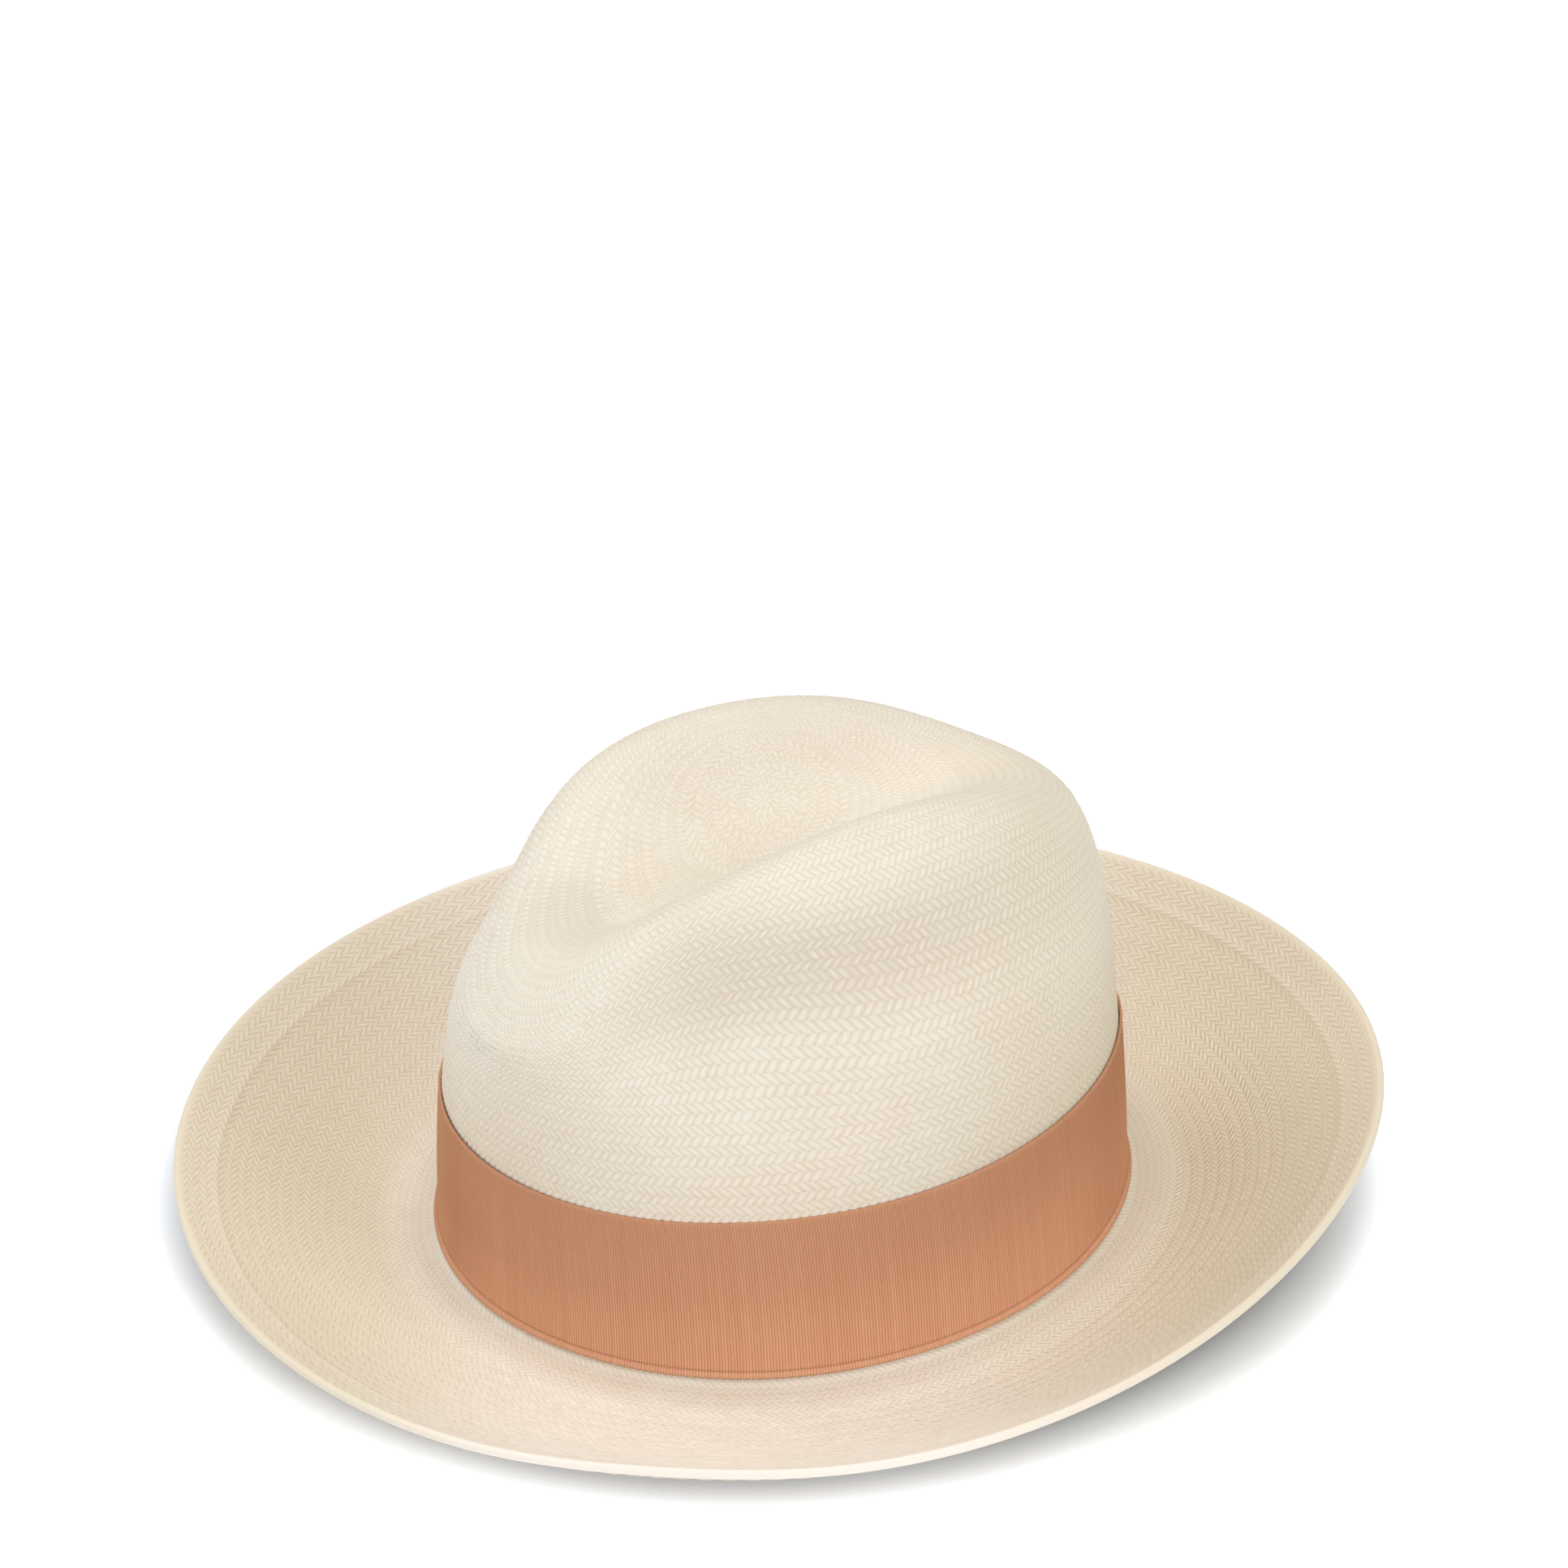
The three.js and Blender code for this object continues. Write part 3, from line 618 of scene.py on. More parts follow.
def leather_material():
    """Smooth vegetable-tanned leather with fine grain and pores."""
    n = Nodes("leather", roughness=0.5, specular=0.4)
    grain = n.node("ShaderNodeTexVoronoi", Vector=n.position(), Scale=1400.0)
    mottle = n.noise(n.position(), 60.0, 4.0)
    colour = n.mix(n.ramp(mottle, 0.3, 0.7), (0.47, 0.285, 0.15), (0.56, 0.36, 0.20))
    colour = n.mix(n.ramp(grain, 0.5, 0.9, 0.0, 0.25), colour, (0.33, 0.19, 0.09))
    return n.finish(colour, n.plus(n.times(mottle, 0.6), grain), 0.12, 0.5)


def thread_material(name, light, dark):
    """Twisted sewing thread: slanted plies."""
    n = Nodes(name, roughness=0.75, specular=0.2)
    u, v = n.uv()
    ply = n.ramp(n.size(n.off_middle(n.plus(n.times(u, 0.9), n.times(v, 0.25)))), 0.2, 0.5)
    return n.finish(n.mix(ply, light, dark), n.minus(1.0, ply), 0.08, 0.7)


def reed_material():
    """Slightly translucent plastic cord."""
    n = Nodes("reed_plastic", roughness=0.3, specular=0.5)
    n.shader.inputs["Subsurface Weight"].default_value = 0.1
    streak = n.noise(n.position(), 300.0)
    return n.finish(n.mix(streak, (0.88, 0.86, 0.78), (0.80, 0.77, 0.68)), streak, 0.05, 0.3)


def tape_material():
    """Cotton tape in a fine plain weave."""
    n = Nodes("cotton_tape", roughness=0.85, specular=0.15)
    u, v = n.uv()
    weave = n.times(n.math("SINE", n.times(u, TURN * 2)), n.math("SINE", n.times(v, TURN * 3)))
    fuzz = n.ramp(n.noise(n.position(), 500.0, 3.0), 0.3, 0.8, 0.0, 0.3)
    colour = n.mix(n.ramp(weave, -1.0, 1.0, 0.0, 0.4), (0.80, 0.74, 0.62), (0.66, 0.58, 0.45))
    return n.finish(n.mix(fuzz, colour, (0.88, 0.83, 0.73)), weave, 0.1, 0.6)


def satin_material():
    """Satin ribbon with streaks of sheen."""
    n = Nodes("satin", roughness=0.38, specular=0.45)
    n.shader.inputs["Anisotropic"].default_value = 0.5
    streak = n.node("ShaderNodeTexWave", Vector=n.position(), Scale=900.0, Distortion=1.5)
    colour = n.mix(n.ramp(streak, 0.0, 1.0, 0.0, 0.3), (0.64, 0.33, 0.19), (0.52, 0.25, 0.13))
    return n.finish(colour, streak, 0.04, 0.4)


def tag_material():
    """Blank woven label."""
    n = Nodes("woven_tag", roughness=0.7, specular=0.2)
    weave = n.node("ShaderNodeTexChecker", Vector=n.position(), Scale=2200.0)
    colour = n.mix(n.noise(n.position(), 90.0), (0.90, 0.88, 0.82), (0.84, 0.81, 0.73))
    return n.finish(colour, weave, 0.05, 0.4)


# ---------- Straw ----------

def section_at_rows():
    """Sections of the borders and middles of the rows, and the number of rows."""
    sections = np.linspace(0, 3, 1500)
    azimuths = np.arange(16) / 16 * TURN
    paths = straw_top(azimuths[:, None], sections[None, :])
    steps = np.linalg.norm(np.diff(paths, axis=1), axis=2).mean(axis=0)
    row_height = np.where(sections[1:] <= 2, CROWN_ROW, BRIM_ROW)
    count = np.concatenate([[0], np.cumsum(steps / row_height)])
    rows = round(count[-1])
    halves = np.arange(2 * rows + 1) / 2
    halves[1:-1] += rng.uniform(-0.03, 0.03, 2 * rows - 1)
    return np.interp(halves / rows * count[-1], count, sections), rows


def girth(section):
    around = straw_top(np.linspace(0, TURN, 97), section)
    return np.linalg.norm(np.diff(around, axis=0), axis=1).sum()


def cells_per_row(sections, rows):
    cells = []
    count = FIRST_CELLS
    for row in range(rows):
        section = sections[2 * row + 1]
        if section > RIBBON_COVERS:
            count = BRIM_CELLS
        elif girth(section) / count > CROWN_CELL:
            count *= 2
        cells.append(count)
    return cells


def weave_ring(half, cells, rows, relief, slant):
    """Angles and heights of one ring of points, with a ridge and a valley for each straw.

    Even rings are borders between rows and odd rings are the middles of rows. Ridges and valleys change
    places from row to row, and the lean of the borders makes the straws slant one way and then the other.
    """
    row = half // 2
    on_border = half % 2 == 0
    calm = float(smoothstep(2 * rows - half, 0, 2.5))
    places = np.arange(2 * cells) / 2
    lean = slant * (1 if row % 2 else -1) if on_border else 0.0
    jitter = rng.uniform(-0.1, 0.1, 2 * cells)
    theta = (places + (lean + jitter) * calm) / cells * TURN
    ridges = np.where(np.arange(2 * cells) % 2 == row % 2, 1.0, -1.0)
    levels = np.full(2 * cells, 0.15) if on_border else ridges
    return theta, levels * relief * calm * rng.uniform(0.55, 1.35, 2 * cells)


def straw_rings():
    """Angles, heights, sections and row number of each ring of points, from the tip to the edge."""
    sections, rows = section_at_rows()
    cells = cells_per_row(sections, rows)
    rings = []
    for half in range(1, 2 * rows + 1):
        count = cells[min(half // 2, rows - 1)]
        relief, slant = (BRIM_RELIEF, BRIM_SLANT) if count == BRIM_CELLS else (RELIEF, SLANT)
        theta, height = weave_ring(half, count, rows, relief, slant)
        rings.append((theta, height, np.full(len(theta), sections[half]), half / 2))
    return rings, rows


def upper_faces(rings):
    """Faces of the upper side with their UVs: straw number as u, row number as v."""
    starts = np.concatenate([[0], np.cumsum([len(ring[0]) for ring in rings])])
    tip = 2 * starts[-1]
    quads, quad_uv, tris, tri_uv = [], [], [], []

    def corner(ring, index, shift, scale=1.0):
        count = len(rings[ring][0])
        u = index / 2 * scale + shift
        return starts[ring] + index % count, np.stack([u, 0 * u + rings[ring][3]], -1)

    def add(corners, faces, uvs):
        faces.append(np.stack([c[0] for c in corners], -1))
        uvs.append(np.stack([c[1] for c in corners], 1))

    i = np.arange(len(rings[0][0]))
    a, b = corner(0, i, 0.0), corner(0, i + 1, 0.0)
    centre = np.stack([(a[1][:, 0] + b[1][:, 0]) / 2, 0.0 * i], -1)
    add([(0 * i + tip, centre), a, b], tris, tri_uv)
    for ring in range(len(rings) - 1):
        near, far = len(rings[ring][0]), len(rings[ring + 1][0])
        i = np.arange(near)
        shift = 0.5 * ((ring + 1) // 2 % 2)
        inner = [corner(ring, i + k, shift) for k in range(2)]
        if far == near:
            outer = [corner(ring + 1, i + k, shift) for k in range(2)]
            add([inner[0], *outer, inner[1]], quads, quad_uv)
        elif far == 2 * near:
            outer = [corner(ring + 1, 2 * i + k, shift, 0.5) for k in range(3)]
            add([inner[0], *outer[:2]], tris, tri_uv)
            add([inner[0], *outer[1:], inner[1]], quads, quad_uv)
        else:
            j = np.arange(far)
            before, after = j * near // far, (j + 1) * near // far
            outer = [corner(ring + 1, j + k, shift, near / far) for k in range(2)]
            add([corner(ring, before, shift), *outer], tris, tri_uv)
            turns = np.flatnonzero(after > before)
            add([corner(ring, before[turns], shift), corner(ring + 1, turns + 1, shift, near / far),
                 corner(ring, after[turns], shift)], tris, tri_uv)
    return [np.concatenate(part) for part in (quads, quad_uv, tris, tri_uv)]


def folded_edge(top, under, theta, first, total, rows):
    """Rounds the brim's edge: rings of points between the upper side and the underside, with their faces."""
    count = len(theta)
    top, under = top[first:], under[first:]
    middle, upwards = (top + under) / 2, (top - under) / 2
    outwards = straw_top(theta, 3.0) - straw_top(theta, 2.98)
    outwards *= HEM_STRAW / 2 / np.linalg.norm(outwards, axis=1)[:, None]
    turns = [math.pi * k / 5 for k in range(1, 5)]
    points = [middle + upwards * math.cos(turn) + outwards * math.sin(turn) for turn in turns]
    i = np.arange(count)
    after = (i + 1) % count
    new = 2 * total + 2
    chain = [first + i, *[new + k * count + i for k in range(len(points))], total + first + i]
    faces, uvs = [], []
    for k in range(len(chain) - 1):
        faces.append(np.stack([chain[k], chain[k + 1], chain[k + 1][after], chain[k][after]], -1))
        low, high = rows + 0.3 * k, rows + 0.3 * (k + 1)
        corners = [(i / 2, low), (i / 2, high), ((i + 1) / 2, high), ((i + 1) / 2, low)]
        uvs.append(np.stack([np.stack([u, 0 * u + v], -1) for u, v in corners], 1))
    return np.concatenate(points), np.concatenate(faces), np.concatenate(uvs)


def add_straw():
    """Upper side, underside and folded edge of the straw, as one closed mesh."""
    rings, rows = straw_rings()
    theta, height, sections = (np.concatenate([ring[k] for ring in rings]) for k in range(3))
    ring_rows = np.concatenate([np.full(len(ring[0]), ring[3]) for ring in rings])
    total = len(theta)
    surface = straw_top(theta, sections)
    normal = straw_normal(theta, sections)
    folded = smoothstep(ring_rows, rows - HEM_ROWS - 0.5, rows - HEM_ROWS)
    thickness = STRAW + (HEM_STRAW - STRAW) * folded
    ridge = HEM_RIDGE * np.exp(-((rows - ring_rows - HEM_ROWS) / HEM_RIDGE_ROWS) ** 2)
    top = surface + normal * (height + ridge)[:, None]
    under = surface - normal * (thickness + 0.6 * height)[:, None]
    under[:, 2] = np.maximum(under[:, 2], 0)
    tip = straw_top(np.zeros(1), 0.0)
    quads, quad_uv, tris, tri_uv = upper_faces(rings)
    under_quads = (quads + total)[:, ::-1]
    under_tris = np.where(tris == 2 * total, 2 * total + 1, tris + total)[:, ::-1]
    first = total - len(rings[-1][0])
    edge, edge_quads, edge_uv = folded_edge(top, under, rings[-1][0], first, total, rows)
    points = np.concatenate([top, under, tip, tip - [[0, 0, STRAW]], edge])
    faces = [face for part in (quads, under_quads, edge_quads, tris, under_tris) for face in part.tolist()]
    uv = [part.reshape(-1, 2) for part in (quad_uv, quad_uv[:, ::-1], edge_uv, tri_uv, tri_uv[:, ::-1])]
    add_piece("straw_weave", points, faces, np.concatenate(uv), straw_material(rows), "straw_body", "straw")


# ---------- Threads ----------

def straw_thread():
    return thread_material("straw_thread", (0.83, 0.75, 0.60), (0.60, 0.50, 0.35))


def stitched_cord(name, place, stitches, sink, material, node_name):
    """Running stitch on a closed line. place(angles, drops) gives its centres; it drops between stitches."""
    steps = 8
    theta = np.arange(stitches * steps) / (stitches * steps) * TURN
    phase = np.arange(stitches * steps) % steps / steps
    centres = place(theta, sink * smoothstep(np.abs(phase - 0.5), 0.28, 0.5))
    along = np.roll(centres, -1, axis=0) - np.roll(centres, 1, axis=0)
    along /= np.linalg.norm(along, axis=1)[:, None]
    sideways = np.cross(along, away_from_head(theta))
    sideways /= np.linalg.norm(sideways, axis=1)[:, None]
    upwards = np.cross(sideways, along)
    add_cord(name, centres, sideways, upwards, THREAD_RADIUS, material, node_name, "straw_thread")


def add_hem_thread():
    def place(theta, drop):
        below = HEM_STRAW + 0.18 - drop
        return straw_top(theta, HEM_THREAD_SECTION) - straw_normal(theta, HEM_THREAD_SECTION) * below[:, None]

    stitched_cord("hem_stitches", place, HEM_STITCHES, HEM_SINK, straw_thread(), "hem_thread")


# ---------- Ribbon and bow ----------

RIB_UV = (0.5, 1.0)  # two rows of points make one rib


def rib_ridges(count):
    """Offsets of the ribs for points that lie two to a rib."""
    return np.where(np.arange(count) % 2, RIB_RELIEF, -RIB_RELIEF)


def add_ribbon(material):
    ribs = round(TURN * math.sqrt((HEAD_LENGTH ** 2 + HEAD_WIDTH ** 2) / 2) / RIB)
    theta = np.arange(2 * ribs) / (2 * ribs) * TURN
    heights = np.array([0, 0.4, 1.2, 1.7, 2.1, 2.6, 5, 10, 18, 28, 38, 42, 43.6, 44.5, 45.0])
    selvage = np.array([-0.2, 0.12, 0.16, -0.2, 0.0, 0, 0, 0, 0, 0, 0, 0, 0, 0.08, -0.2])
    flare = 0.5 * np.exp(-heights / 3)
    ribbed = np.where((heights > 2) & (heights < 44.4), 1.0, 0.3)
    slack = 0.12 * np.sin(3 * theta + 1) + 0.08 * np.sin(7 * theta)
    distance = (GAP + RIBBON_THICK + (selvage + flare)[None, :] + slack[:, None]
                + rib_ridges(2 * ribs)[:, None] * ribbed[None, :])
    front = ribbon_point(theta[:, None], heights[None, :], distance)
    back = ribbon_point(theta[:, None], heights[None, :], np.minimum(distance - 0.5, GAP + 0.3))
    add_sheet("ribbon_weave", front, back, True, material, "ribbon_band", "ribbon", RIB_UV)


def bow_point(along, height, distance):
    """A place on the bow: distance along the band from the bow's middle, on the wearer's right."""
    return ribbon_point(math.pi + along / HEAD_LENGTH, height, distance)


TAILS_AT = 2 * GAP + RIBBON_THICK + 0.3
LOOPS_AT = TAILS_AT + BOW_LAYER + GAP
KNOT_AT = LOOPS_AT + LOOP_DEPTH + GAP


def add_bow_tails(material):
    """Flat under layer whose ends are cut to a V and lift a little from the band."""
    ribs = round(2 * BOW_TAIL_SPAN / RIB)
    spread = np.linspace(-1, 1, 2 * ribs + 1)[:, None]
    up = np.linspace(0, 1, 17)[None, :]
    reach = BOW_TAIL_SPAN - BOW_NOTCH * (1 - np.abs(2 * up - 1))
    along = spread * reach
    height = BOW_INSET + up * (RIBBON_HEIGHT - 2 * BOW_INSET) + 0.4 * np.sin(3 * spread)
    lift = 1.1 * np.abs(spread) ** 6 + 0.25 * np.sin(4 * spread + 2 * up)
    distance = TAILS_AT + 0.3 + lift
    front = bow_point(along, height, distance + BOW_LAYER)
    back = bow_point(along, height, distance)
    add_sheet("bow_tails_ribbon", front, back, False, material, "bow_tails", "ribbon", RIB_UV)


def add_bow_loops(material):
    """The ribbon folded back on itself: two puffed loops, gathered where the knot holds them."""
    middle = LOOP_DEPTH / 2
    straight = BOW_HALF_SPAN - middle
    length = 4 * straight + TURN * middle
    steps = 2 * round(length / RIB)
    run = np.arange(steps) / steps * length
    bend = math.pi * middle
    side = np.where(run < length / 2, 1.0, -1.0)
    local = run % (length / 2)
    turn = np.clip(local / bend, 0, 1) * math.pi - math.pi / 2
    flat = np.maximum(local - bend, 0)
    along = side * (straight + middle * np.cos(turn) - flat)
    depth = side * middle * np.sin(turn)
    outward = np.stack([side * np.cos(turn), side * np.sin(turn)], -1)
    ribs = rib_ridges(steps)
    outer = depth > 0
    from_knot = np.maximum(np.abs(along) - KNOT_HALF_WIDTH, 0)
    free = np.minimum(from_knot / (straight - KNOT_HALF_WIDTH), 1)
    puff = np.where(outer, LOOP_PUFF, 0.0) * np.sin(math.pi * free) ** 0.8 * smoothstep(depth, 0, middle)
    up = np.linspace(-1, 1, 25)[None, :]
    gather = 1 - 0.14 * np.exp(-from_knot / 7)
    half_height = (RIBBON_HEIGHT / 2 - BOW_INSET - 1) * gather[:, None]
    folds = 0.45 * np.cos(4.5 * math.pi * up) * np.exp(-from_knot / 9)[:, None]

    def layer(inset):
        at = along[:, None] + outward[:, :1] * (ribs[:, None] - inset)
        crown_of_puff = puff[:, None] * (1 - 0.35 * up ** 2)
        distance = LOOPS_AT + middle + (depth[:, None] + outward[:, 1:] * (ribs[:, None] - inset)
                                        + crown_of_puff + np.where(outer[:, None], folds, 0))
        height = RIBBON_HEIGHT / 2 + up * half_height + 0.5 * np.sin(along / 9)[:, None]
        return bow_point(at, height, distance)

    add_sheet("bow_loops_ribbon", layer(0.0), layer(BOW_LAYER), True, material, "bow_loops", "ribbon", RIB_UV)


def add_bow_knot(material):
    """The wrap over the middle of the bow, turned in at the band's upper and lower edges."""
    half = RIBBON_HEIGHT / 2 - 1.5
    reach = KNOT_AT - TAILS_AT + 0.6
    corner = 1.6
    length = 2 * half + 2 * reach
    steps = 2 * round(length / RIB)
    run = (np.arange(steps) / (steps - 1) - 0.5) * length
    over = np.clip(np.abs(run) - (half - corner), 0, None)
    turn = np.clip(over / corner, 0, math.pi / 2)
    rest = np.maximum(over - corner * math.pi / 2, 0)
    height = np.sign(run) * (np.minimum(np.abs(run), half - corner) + corner * np.sin(turn))
    fall = corner * (1 - np.cos(turn)) + rest
    tilt = np.stack([np.sign(run) * np.sin(turn), np.cos(turn)], -1)
    across = np.linspace(-1, 1, 17)[None, :]
    width = KNOT_HALF_WIDTH * (1 - 0.06 * np.cos(math.pi * np.minimum(np.abs(run) / half, 1)))[:, None]
    rounded = 0.9 * (1 - across ** 4) + 0.2 * np.cos(2.5 * math.pi * across + 0.5)

    def layer(grown):
        out = rib_ridges(steps)[:, None] + grown + rounded
        return bow_point(across * width, RIBBON_HEIGHT / 2 + height[:, None] + tilt[:, :1] * out,
                         KNOT_AT + 0.3 - fall[:, None] + tilt[:, 1:] * out)

    add_sheet("bow_knot_ribbon", layer(BOW_LAYER), layer(0.0), False, material, "bow_knot", "ribbon", RIB_UV)


def add_ribbon_tack(end, theta, material):
    """Short stitch over the ribbon's upper edge, as a thin loop of thread."""
    run = np.linspace(-1, 1, 15)
    height = RIBBON_HEIGHT - 0.9 + 1.5 * run
    over = RIBBON_THICK + GAP + 0.25 - (RIBBON_THICK + 0.1) * smoothstep(run, 0.0, 0.7)
    sink = 0.9 * smoothstep(np.abs(run), 0.75, 1.0)
    centres = ribbon_point(theta + 0.006 * run, height, over - sink)
    outwards = away_from_head(theta)
    sideways = np.array([-outwards[1], outwards[0], 0.0])
    loop = np.concatenate([centres, (centres + sideways * 0.45 - outwards * 0.12)[::-1]])
    add_cord(f"tack_stitch_{end}", loop, np.tile(sideways, (len(loop), 1)), np.tile(outwards, (len(loop), 1)),
             0.7 * THREAD_RADIUS, material, f"ribbon_tack_{end}", "ribbon_thread")


def add_ribbon_tacks():
    material = thread_material("ribbon_thread", (0.70, 0.36, 0.21), (0.58, 0.27, 0.15))
    add_ribbon_tack("front", -math.pi / 2 - 0.1, material)
    add_ribbon_tack("back", math.pi / 2 + 0.1, material)


# ---------- Sweatband ----------

BAND_OUTER = STRAW + BAND_WALL_GAP
REED_DEPTH = BAND_OUTER + BAND_THICK / 2


def inside_point(theta, z, depth):
    """A place inside the crown: depth is measured inwards from the straw's outer face."""
    return wall_point(theta, z, -depth)


def add_sweatband():
    """Leather strip with rounded edges. Its ends meet at the back and its top leans in a little."""
    half_seam = BAND_SEAM / 2 / HEAD_WIDTH
    theta = (math.pi / 2 + np.linspace(half_seam, TURN - half_seam, 260))[:, None]
    rim = np.array([0, 0.1, 0.4])
    middle = [6, 9, 12, 16, 20, 24, 28, 31, 33]
    levels = np.concatenate([BAND_BOTTOM + rim, middle, BAND_TOP - rim[::-1]])[None, :]
    body = np.array([0.3, 0.7, *[1] * 10, 0.9, 0.7, 0.3])[None, :]
    up = (levels - BAND_BOTTOM) / (BAND_TOP - BAND_BOTTOM)
    slack = 0.5 + 0.3 * np.sin(5 * theta + 0.7) + 0.2 * np.sin(11 * theta)
    depth = REED_DEPTH + 1.6 * up ** 2 * (0.6 + 0.4 * slack)
    edge = levels + 0.25 * up * np.sin(4 * theta)
    front = inside_point(theta, edge, depth - body * BAND_THICK / 2)
    back = inside_point(theta, edge, depth + body * BAND_THICK / 2)
    add_sheet("sweatband_leather", front, back, False, leather_material(), "sweatband", "leather")


def add_reed():
    steps = 300
    theta = np.arange(steps) / steps * TURN
    centres = inside_point(theta, REED_Z, REED_DEPTH)
    upwards = np.tile([0.0, 0.0, 1.0], (steps, 1))
    add_cord("reed_cord", centres, away_from_head(theta), upwards, REED_RADIUS, reed_material(),
             "sweatband_reed", "reed", sides=14)


def add_reed_tape():
    """Cotton tape folded under the reed, with one arm on each side of the leather."""
    turn = np.linspace(math.pi, 2 * math.pi, 13)
    arm_foot = REED_Z + 0.4
    outer_arm = np.linspace(TAPE_OUTER_ARM, arm_foot, 8)
    inner_arm = np.linspace(arm_foot, TAPE_INNER_ARM, 8)
    theta = (np.arange(720) / 720 * TURN)[:, None]
    wavy = 0.07 * np.sin(90 * theta) + 0.05 * np.sin(23 * theta)

    def layer(radius):
        z = np.concatenate([outer_arm, REED_Z + radius * np.sin(turn), inner_arm])[None, :]
        depth = radius * np.concatenate([0 * outer_arm - 1, np.cos(turn), 0 * inner_arm + 1])[None, :]
        return inside_point(theta, z + wavy, REED_DEPTH + depth + 0.5 * wavy)

    half = TAPE_THICK / 2
    add_sheet("reed_tape_cotton", layer(TAPE_RADIUS + half), layer(TAPE_RADIUS - half), True, tape_material(),
              "reed_tape", "tape")


def add_inside_threads():
    """Stitches that hold the tape to the leather, and the tape to the straw."""
    tape_face = REED_DEPTH + TAPE_RADIUS + TAPE_THICK / 2
    thread = straw_thread()

    def on_tape(theta, drop):
        return inside_point(theta, BAND_THREAD_Z, tape_face + 0.2 - drop)

    def on_straw(theta, drop):
        return inside_point(theta, BODY_THREAD_Z, 0.5 + drop)

    stitched_cord("band_stitches", on_tape, BAND_STITCHES, BAND_SINK, thread, "sweatband_thread")
    stitched_cord("body_stitches", on_straw, BODY_STITCHES, BODY_SINK, thread, "body_thread")


def pillow(half_height, half_width, thickness, along_steps, up_steps):
    """Grids of a soft flat shape: its shares across and up, its x and z, and how far it swells."""
    across = np.linspace(-1, 1, along_steps)[:, None]
    up = np.linspace(-1, 1, up_steps)[None, :]
    x = across * half_width + 0 * up
    z = up * half_height(across)
    swell = thickness * np.sqrt(np.maximum(1 - up ** 6, 0)) * np.sqrt(np.maximum(1 - across ** 8, 0))
    return across, up, x, z, swell


def add_seam_bow():
    """Small satin bow over the seam at the back of the sweatband."""
    centre = inside_point(math.pi / 2, SEAM_BOW_Z, BAND_OUTER + BAND_THICK + 2 * GAP + 0.5)
    satin = satin_material()

    def add_satin(name, x, front_y, back_y, z):
        front, back = (centre + np.stack([x, y, z], -1) for y in (front_y, back_y))
        add_sheet(name, front, back, False, satin, "sweatband_seam_bow", "satin", (0.3, 1.0))

    across, up, x, z, swell = pillow(lambda t: 1.1 + 2.3 * smoothstep(np.abs(t), 0.05, 0.8), 8.2, 0.7, 61, 21)
    folds = 0.35 * np.cos(3 * math.pi * up) * np.exp(-np.abs(across) * 2.5)
    add_satin("seam_bow_wings", x, -(swell + folds + 0.5 * np.abs(across)), 0.3 * (swell - np.abs(across)), z)
    *_, x, z, swell = pillow(lambda t: 1.9 - 0.2 * t ** 2, 1.5, 0.9, 17, 17)
    add_satin("seam_bow_knot", x, -0.6 - swell, 0.2 * swell - 0.2, z)


def add_size_tag():
    """Blank tag tucked behind the top of the sweatband, on the wearer's left, curling a little."""
    across = np.linspace(-1, 1, 33)[:, None]
    up = np.linspace(0, 1, 33)[None, :]
    z = TAG_BOTTOM + (TAG_TOP - TAG_BOTTOM) * up
    depth = STRAW + GAP + 0.35 + 1.4 * up ** 3 * (0.4 + 0.6 * across ** 2)
    theta = TAG_HALF_WIDTH * across / HEAD_LENGTH
    front = inside_point(theta, z, depth)
    back = inside_point(theta, z, depth + TAG_THICK)
    add_sheet("size_tag_cloth", front, back, False, tag_material(), "size_tag", "tag")


# ---------- All pieces ----------

add_straw()
add_hem_thread()
grosgrain = ribbon_material("grosgrain")
add_ribbon(ribbon_material("grosgrain_band", line_row=3.0))
add_bow_tails(grosgrain)
add_bow_loops(grosgrain)
add_bow_knot(grosgrain)
add_ribbon_tacks()
add_sweatband()
add_reed()
add_reed_tape()
add_inside_threads()
add_seam_bow()
add_size_tag()


# ---------- Set, light and camera ----------

FLOOR_HALF, FLOOR_COLOUR = 6.0, (0.875, 0.91, 0.97)
PAINTED_GLOW_CENTRE, PAINTED_SHADOW_CENTRE = (-0.067, 0.044, 0.0), (-0.016, 0.003, 0.0)
TO_CAMERA_SIDE = (0.833, -0.553, 0.0)


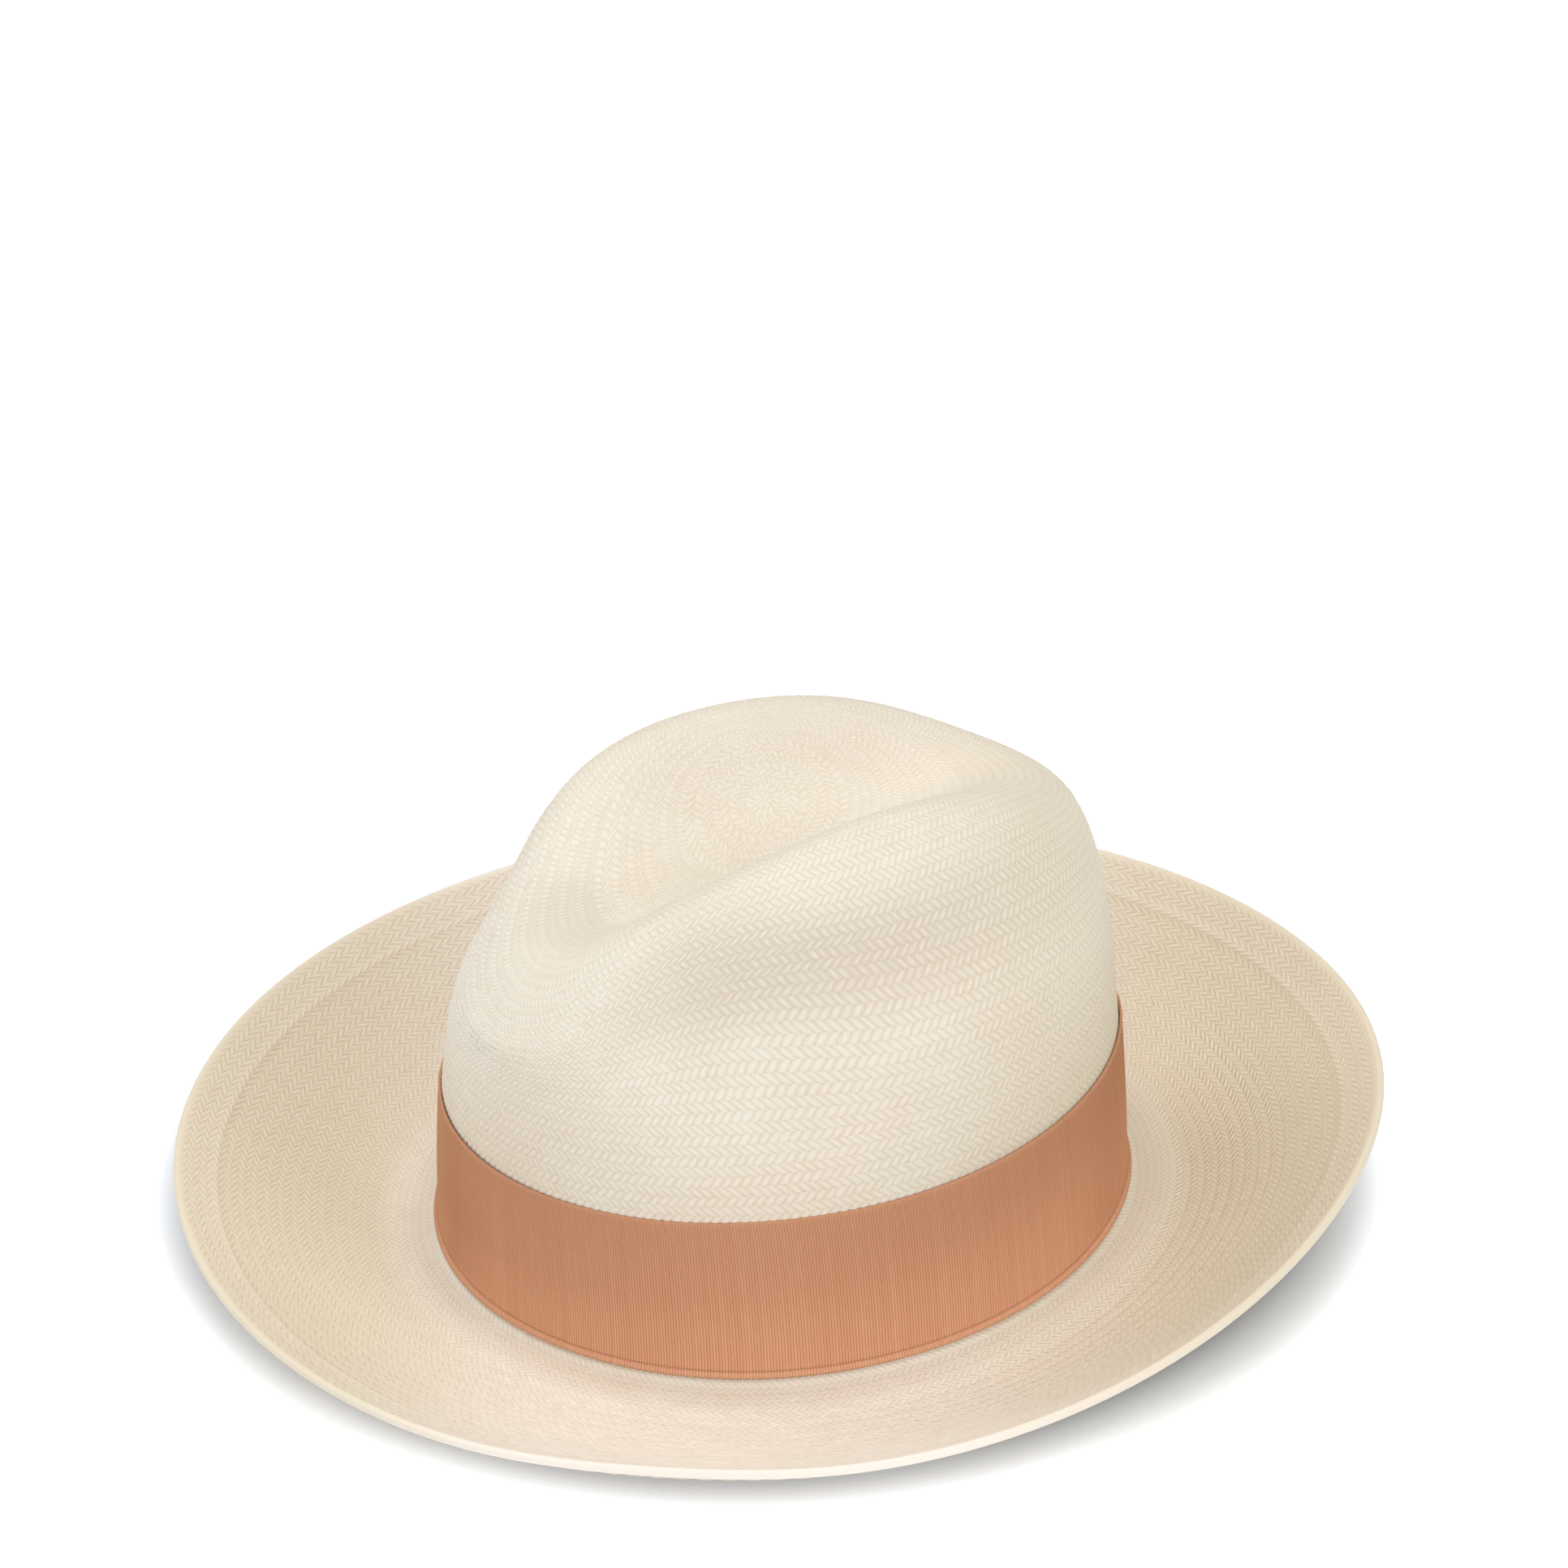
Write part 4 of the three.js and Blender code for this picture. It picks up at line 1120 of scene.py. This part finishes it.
def add_floor():
    """Pale floor with painted light and a painted shadow: it glows away from the hat, as a lit studio sweep
    does, and its colour is dark under it.
    """
    corners = [(-1, -1), (1, -1), (1, 1), (-1, 1)]
    mesh = bpy.data.meshes.new("floor")
    mesh.from_pydata([(x * FLOOR_HALF, y * FLOOR_HALF, 0) for x, y in corners], [], [(0, 1, 2, 3)])
    n = Nodes("floor_painted_glow_and_shadow", roughness=0.9, specular=0.1)
    # distance from the painted shadow's centre, a little larger towards the camera's side and smaller behind
    reach = n.plus(n.distance(PAINTED_SHADOW_CENTRE), n.ramp(n.towards(TO_CAMERA_SIDE), 0.0, 0.2, -0.01, 0.01))
    seen_by_camera = n.node("ShaderNodeLightPath")
    # painted light: the floor glows more away from the hat, and, where the camera sees it, more still beyond
    # the painted shadow
    glow = n.plus(n.ramp(n.distance(PAINTED_GLOW_CENTRE), 0.15, 0.5, 0.11, 0.5),
                  n.times(n.ramp(reach, 0.157, 0.175, 0.0, 0.5), seen_by_camera))
    n.put(n.shader.inputs["Emission Color"], (1.0, 1.0, 1.0))
    n.put(n.shader.inputs["Emission Strength"], glow)
    # painted shadow: the floor's colour darkens to a tenth towards the hat
    mesh.materials.append(n.finish(n.mix(n.ramp(reach, 0.138, 0.163, 0.1, 1.0), (0, 0, 0), FLOOR_COLOUR)))
    add_object("floor", mesh)


# Soft lights: place and width in metres, power in watts
LIGHTS = {
    "left": ((0.05, -1.5, 1.15), 0.9, 4.4),
    "front": ((1.45, -0.95, 1.1), 0.9, 5.0),
    "right": ((1.4, 0.5, 1.15), 0.9, 8.2),
    "top": ((-0.2, 0.1, 2.0), 1.6, 17.5),
    "behind": ((-1.5, -0.5, 1.3), 0.9, 6.5),
}
LIGHT_TARGET = (0.0, 0.0, 0.05)
WORLD_LIGHT = 0.37


def stand(item, right, up, back, place):
    """Places a light or camera, which looks away from the direction back."""
    turn = Matrix(np.array([right, up, back]).T.tolist()).to_4x4()
    turn.translation = place
    item.matrix_world = turn


def add_area_light(name, place, size, power):
    """Square light that points at the hat and isn't seen itself."""
    light = bpy.data.lights.new(name, "AREA")
    light.size = size
    light.energy = power
    lamp = add_object(name, light)
    lamp.visible_camera = False
    back = np.array(place) - np.array(LIGHT_TARGET)
    back /= np.linalg.norm(back)
    side = np.cross((0, 0, 1), back)
    side /= np.linalg.norm(side)
    stand(lamp, side, np.cross(back, side), back, place)


def add_world(strength):
    """White surroundings that look fully white but light the hat only softly."""
    world = bpy.data.worlds.new("studio")
    world.use_nodes = True
    tree = world.node_tree
    seen = tree.nodes.new("ShaderNodeMapRange")
    seen.inputs["To Min"].default_value = strength
    seen.inputs["To Max"].default_value = 1.0
    tree.links.new(tree.nodes.new("ShaderNodeLightPath").outputs["Is Camera Ray"], seen.inputs["Value"])
    background = tree.nodes["Background"]
    background.inputs["Color"].default_value = (1, 1, 1, 1)
    tree.links.new(seen.outputs[0], background.inputs["Strength"])
    bpy.context.scene.world = world


AZIMUTH, ELEVATION, ROLL = 56.4, 28.7, -0.89  # degrees
CAMERA_DISTANCE, CAMERA_LENS = 1.40, 114.13  # metres; millimetres
HAT_ACROSS, HAT_UP = 1.1, -111.6  # from the picture's middle, in millimetres


def add_camera():
    """The photo's view, moved so that the hat sits low in the picture."""
    azimuth, elevation, roll = map(math.radians, (AZIMUTH, ELEVATION, ROLL))
    back = np.array([math.sin(azimuth) * math.cos(elevation), -math.cos(azimuth) * math.cos(elevation),
                     math.sin(elevation)])
    right = np.array([math.cos(azimuth), math.sin(azimuth), 0.0])
    up = np.cross(back, right)
    right, up = (math.cos(roll) * right + math.sin(roll) * up, math.cos(roll) * up - math.sin(roll) * right)
    target = (HEAD_CENTRE + np.array([0, 0, FOOT])) * MM
    camera = add_object("camera", bpy.data.cameras.new("camera"))
    camera.data.sensor_width = 36.0
    camera.data.lens = CAMERA_LENS
    stand(camera, right, up, back, target + back * CAMERA_DISTANCE - (right * HAT_ACROSS + up * HAT_UP) * MM)
    bpy.context.scene.camera = camera


add_floor()
add_world(WORLD_LIGHT)
for name, values in LIGHTS.items():
    add_area_light(name, *values)
add_camera()
bpy.context.scene.view_settings.view_transform = "Standard"
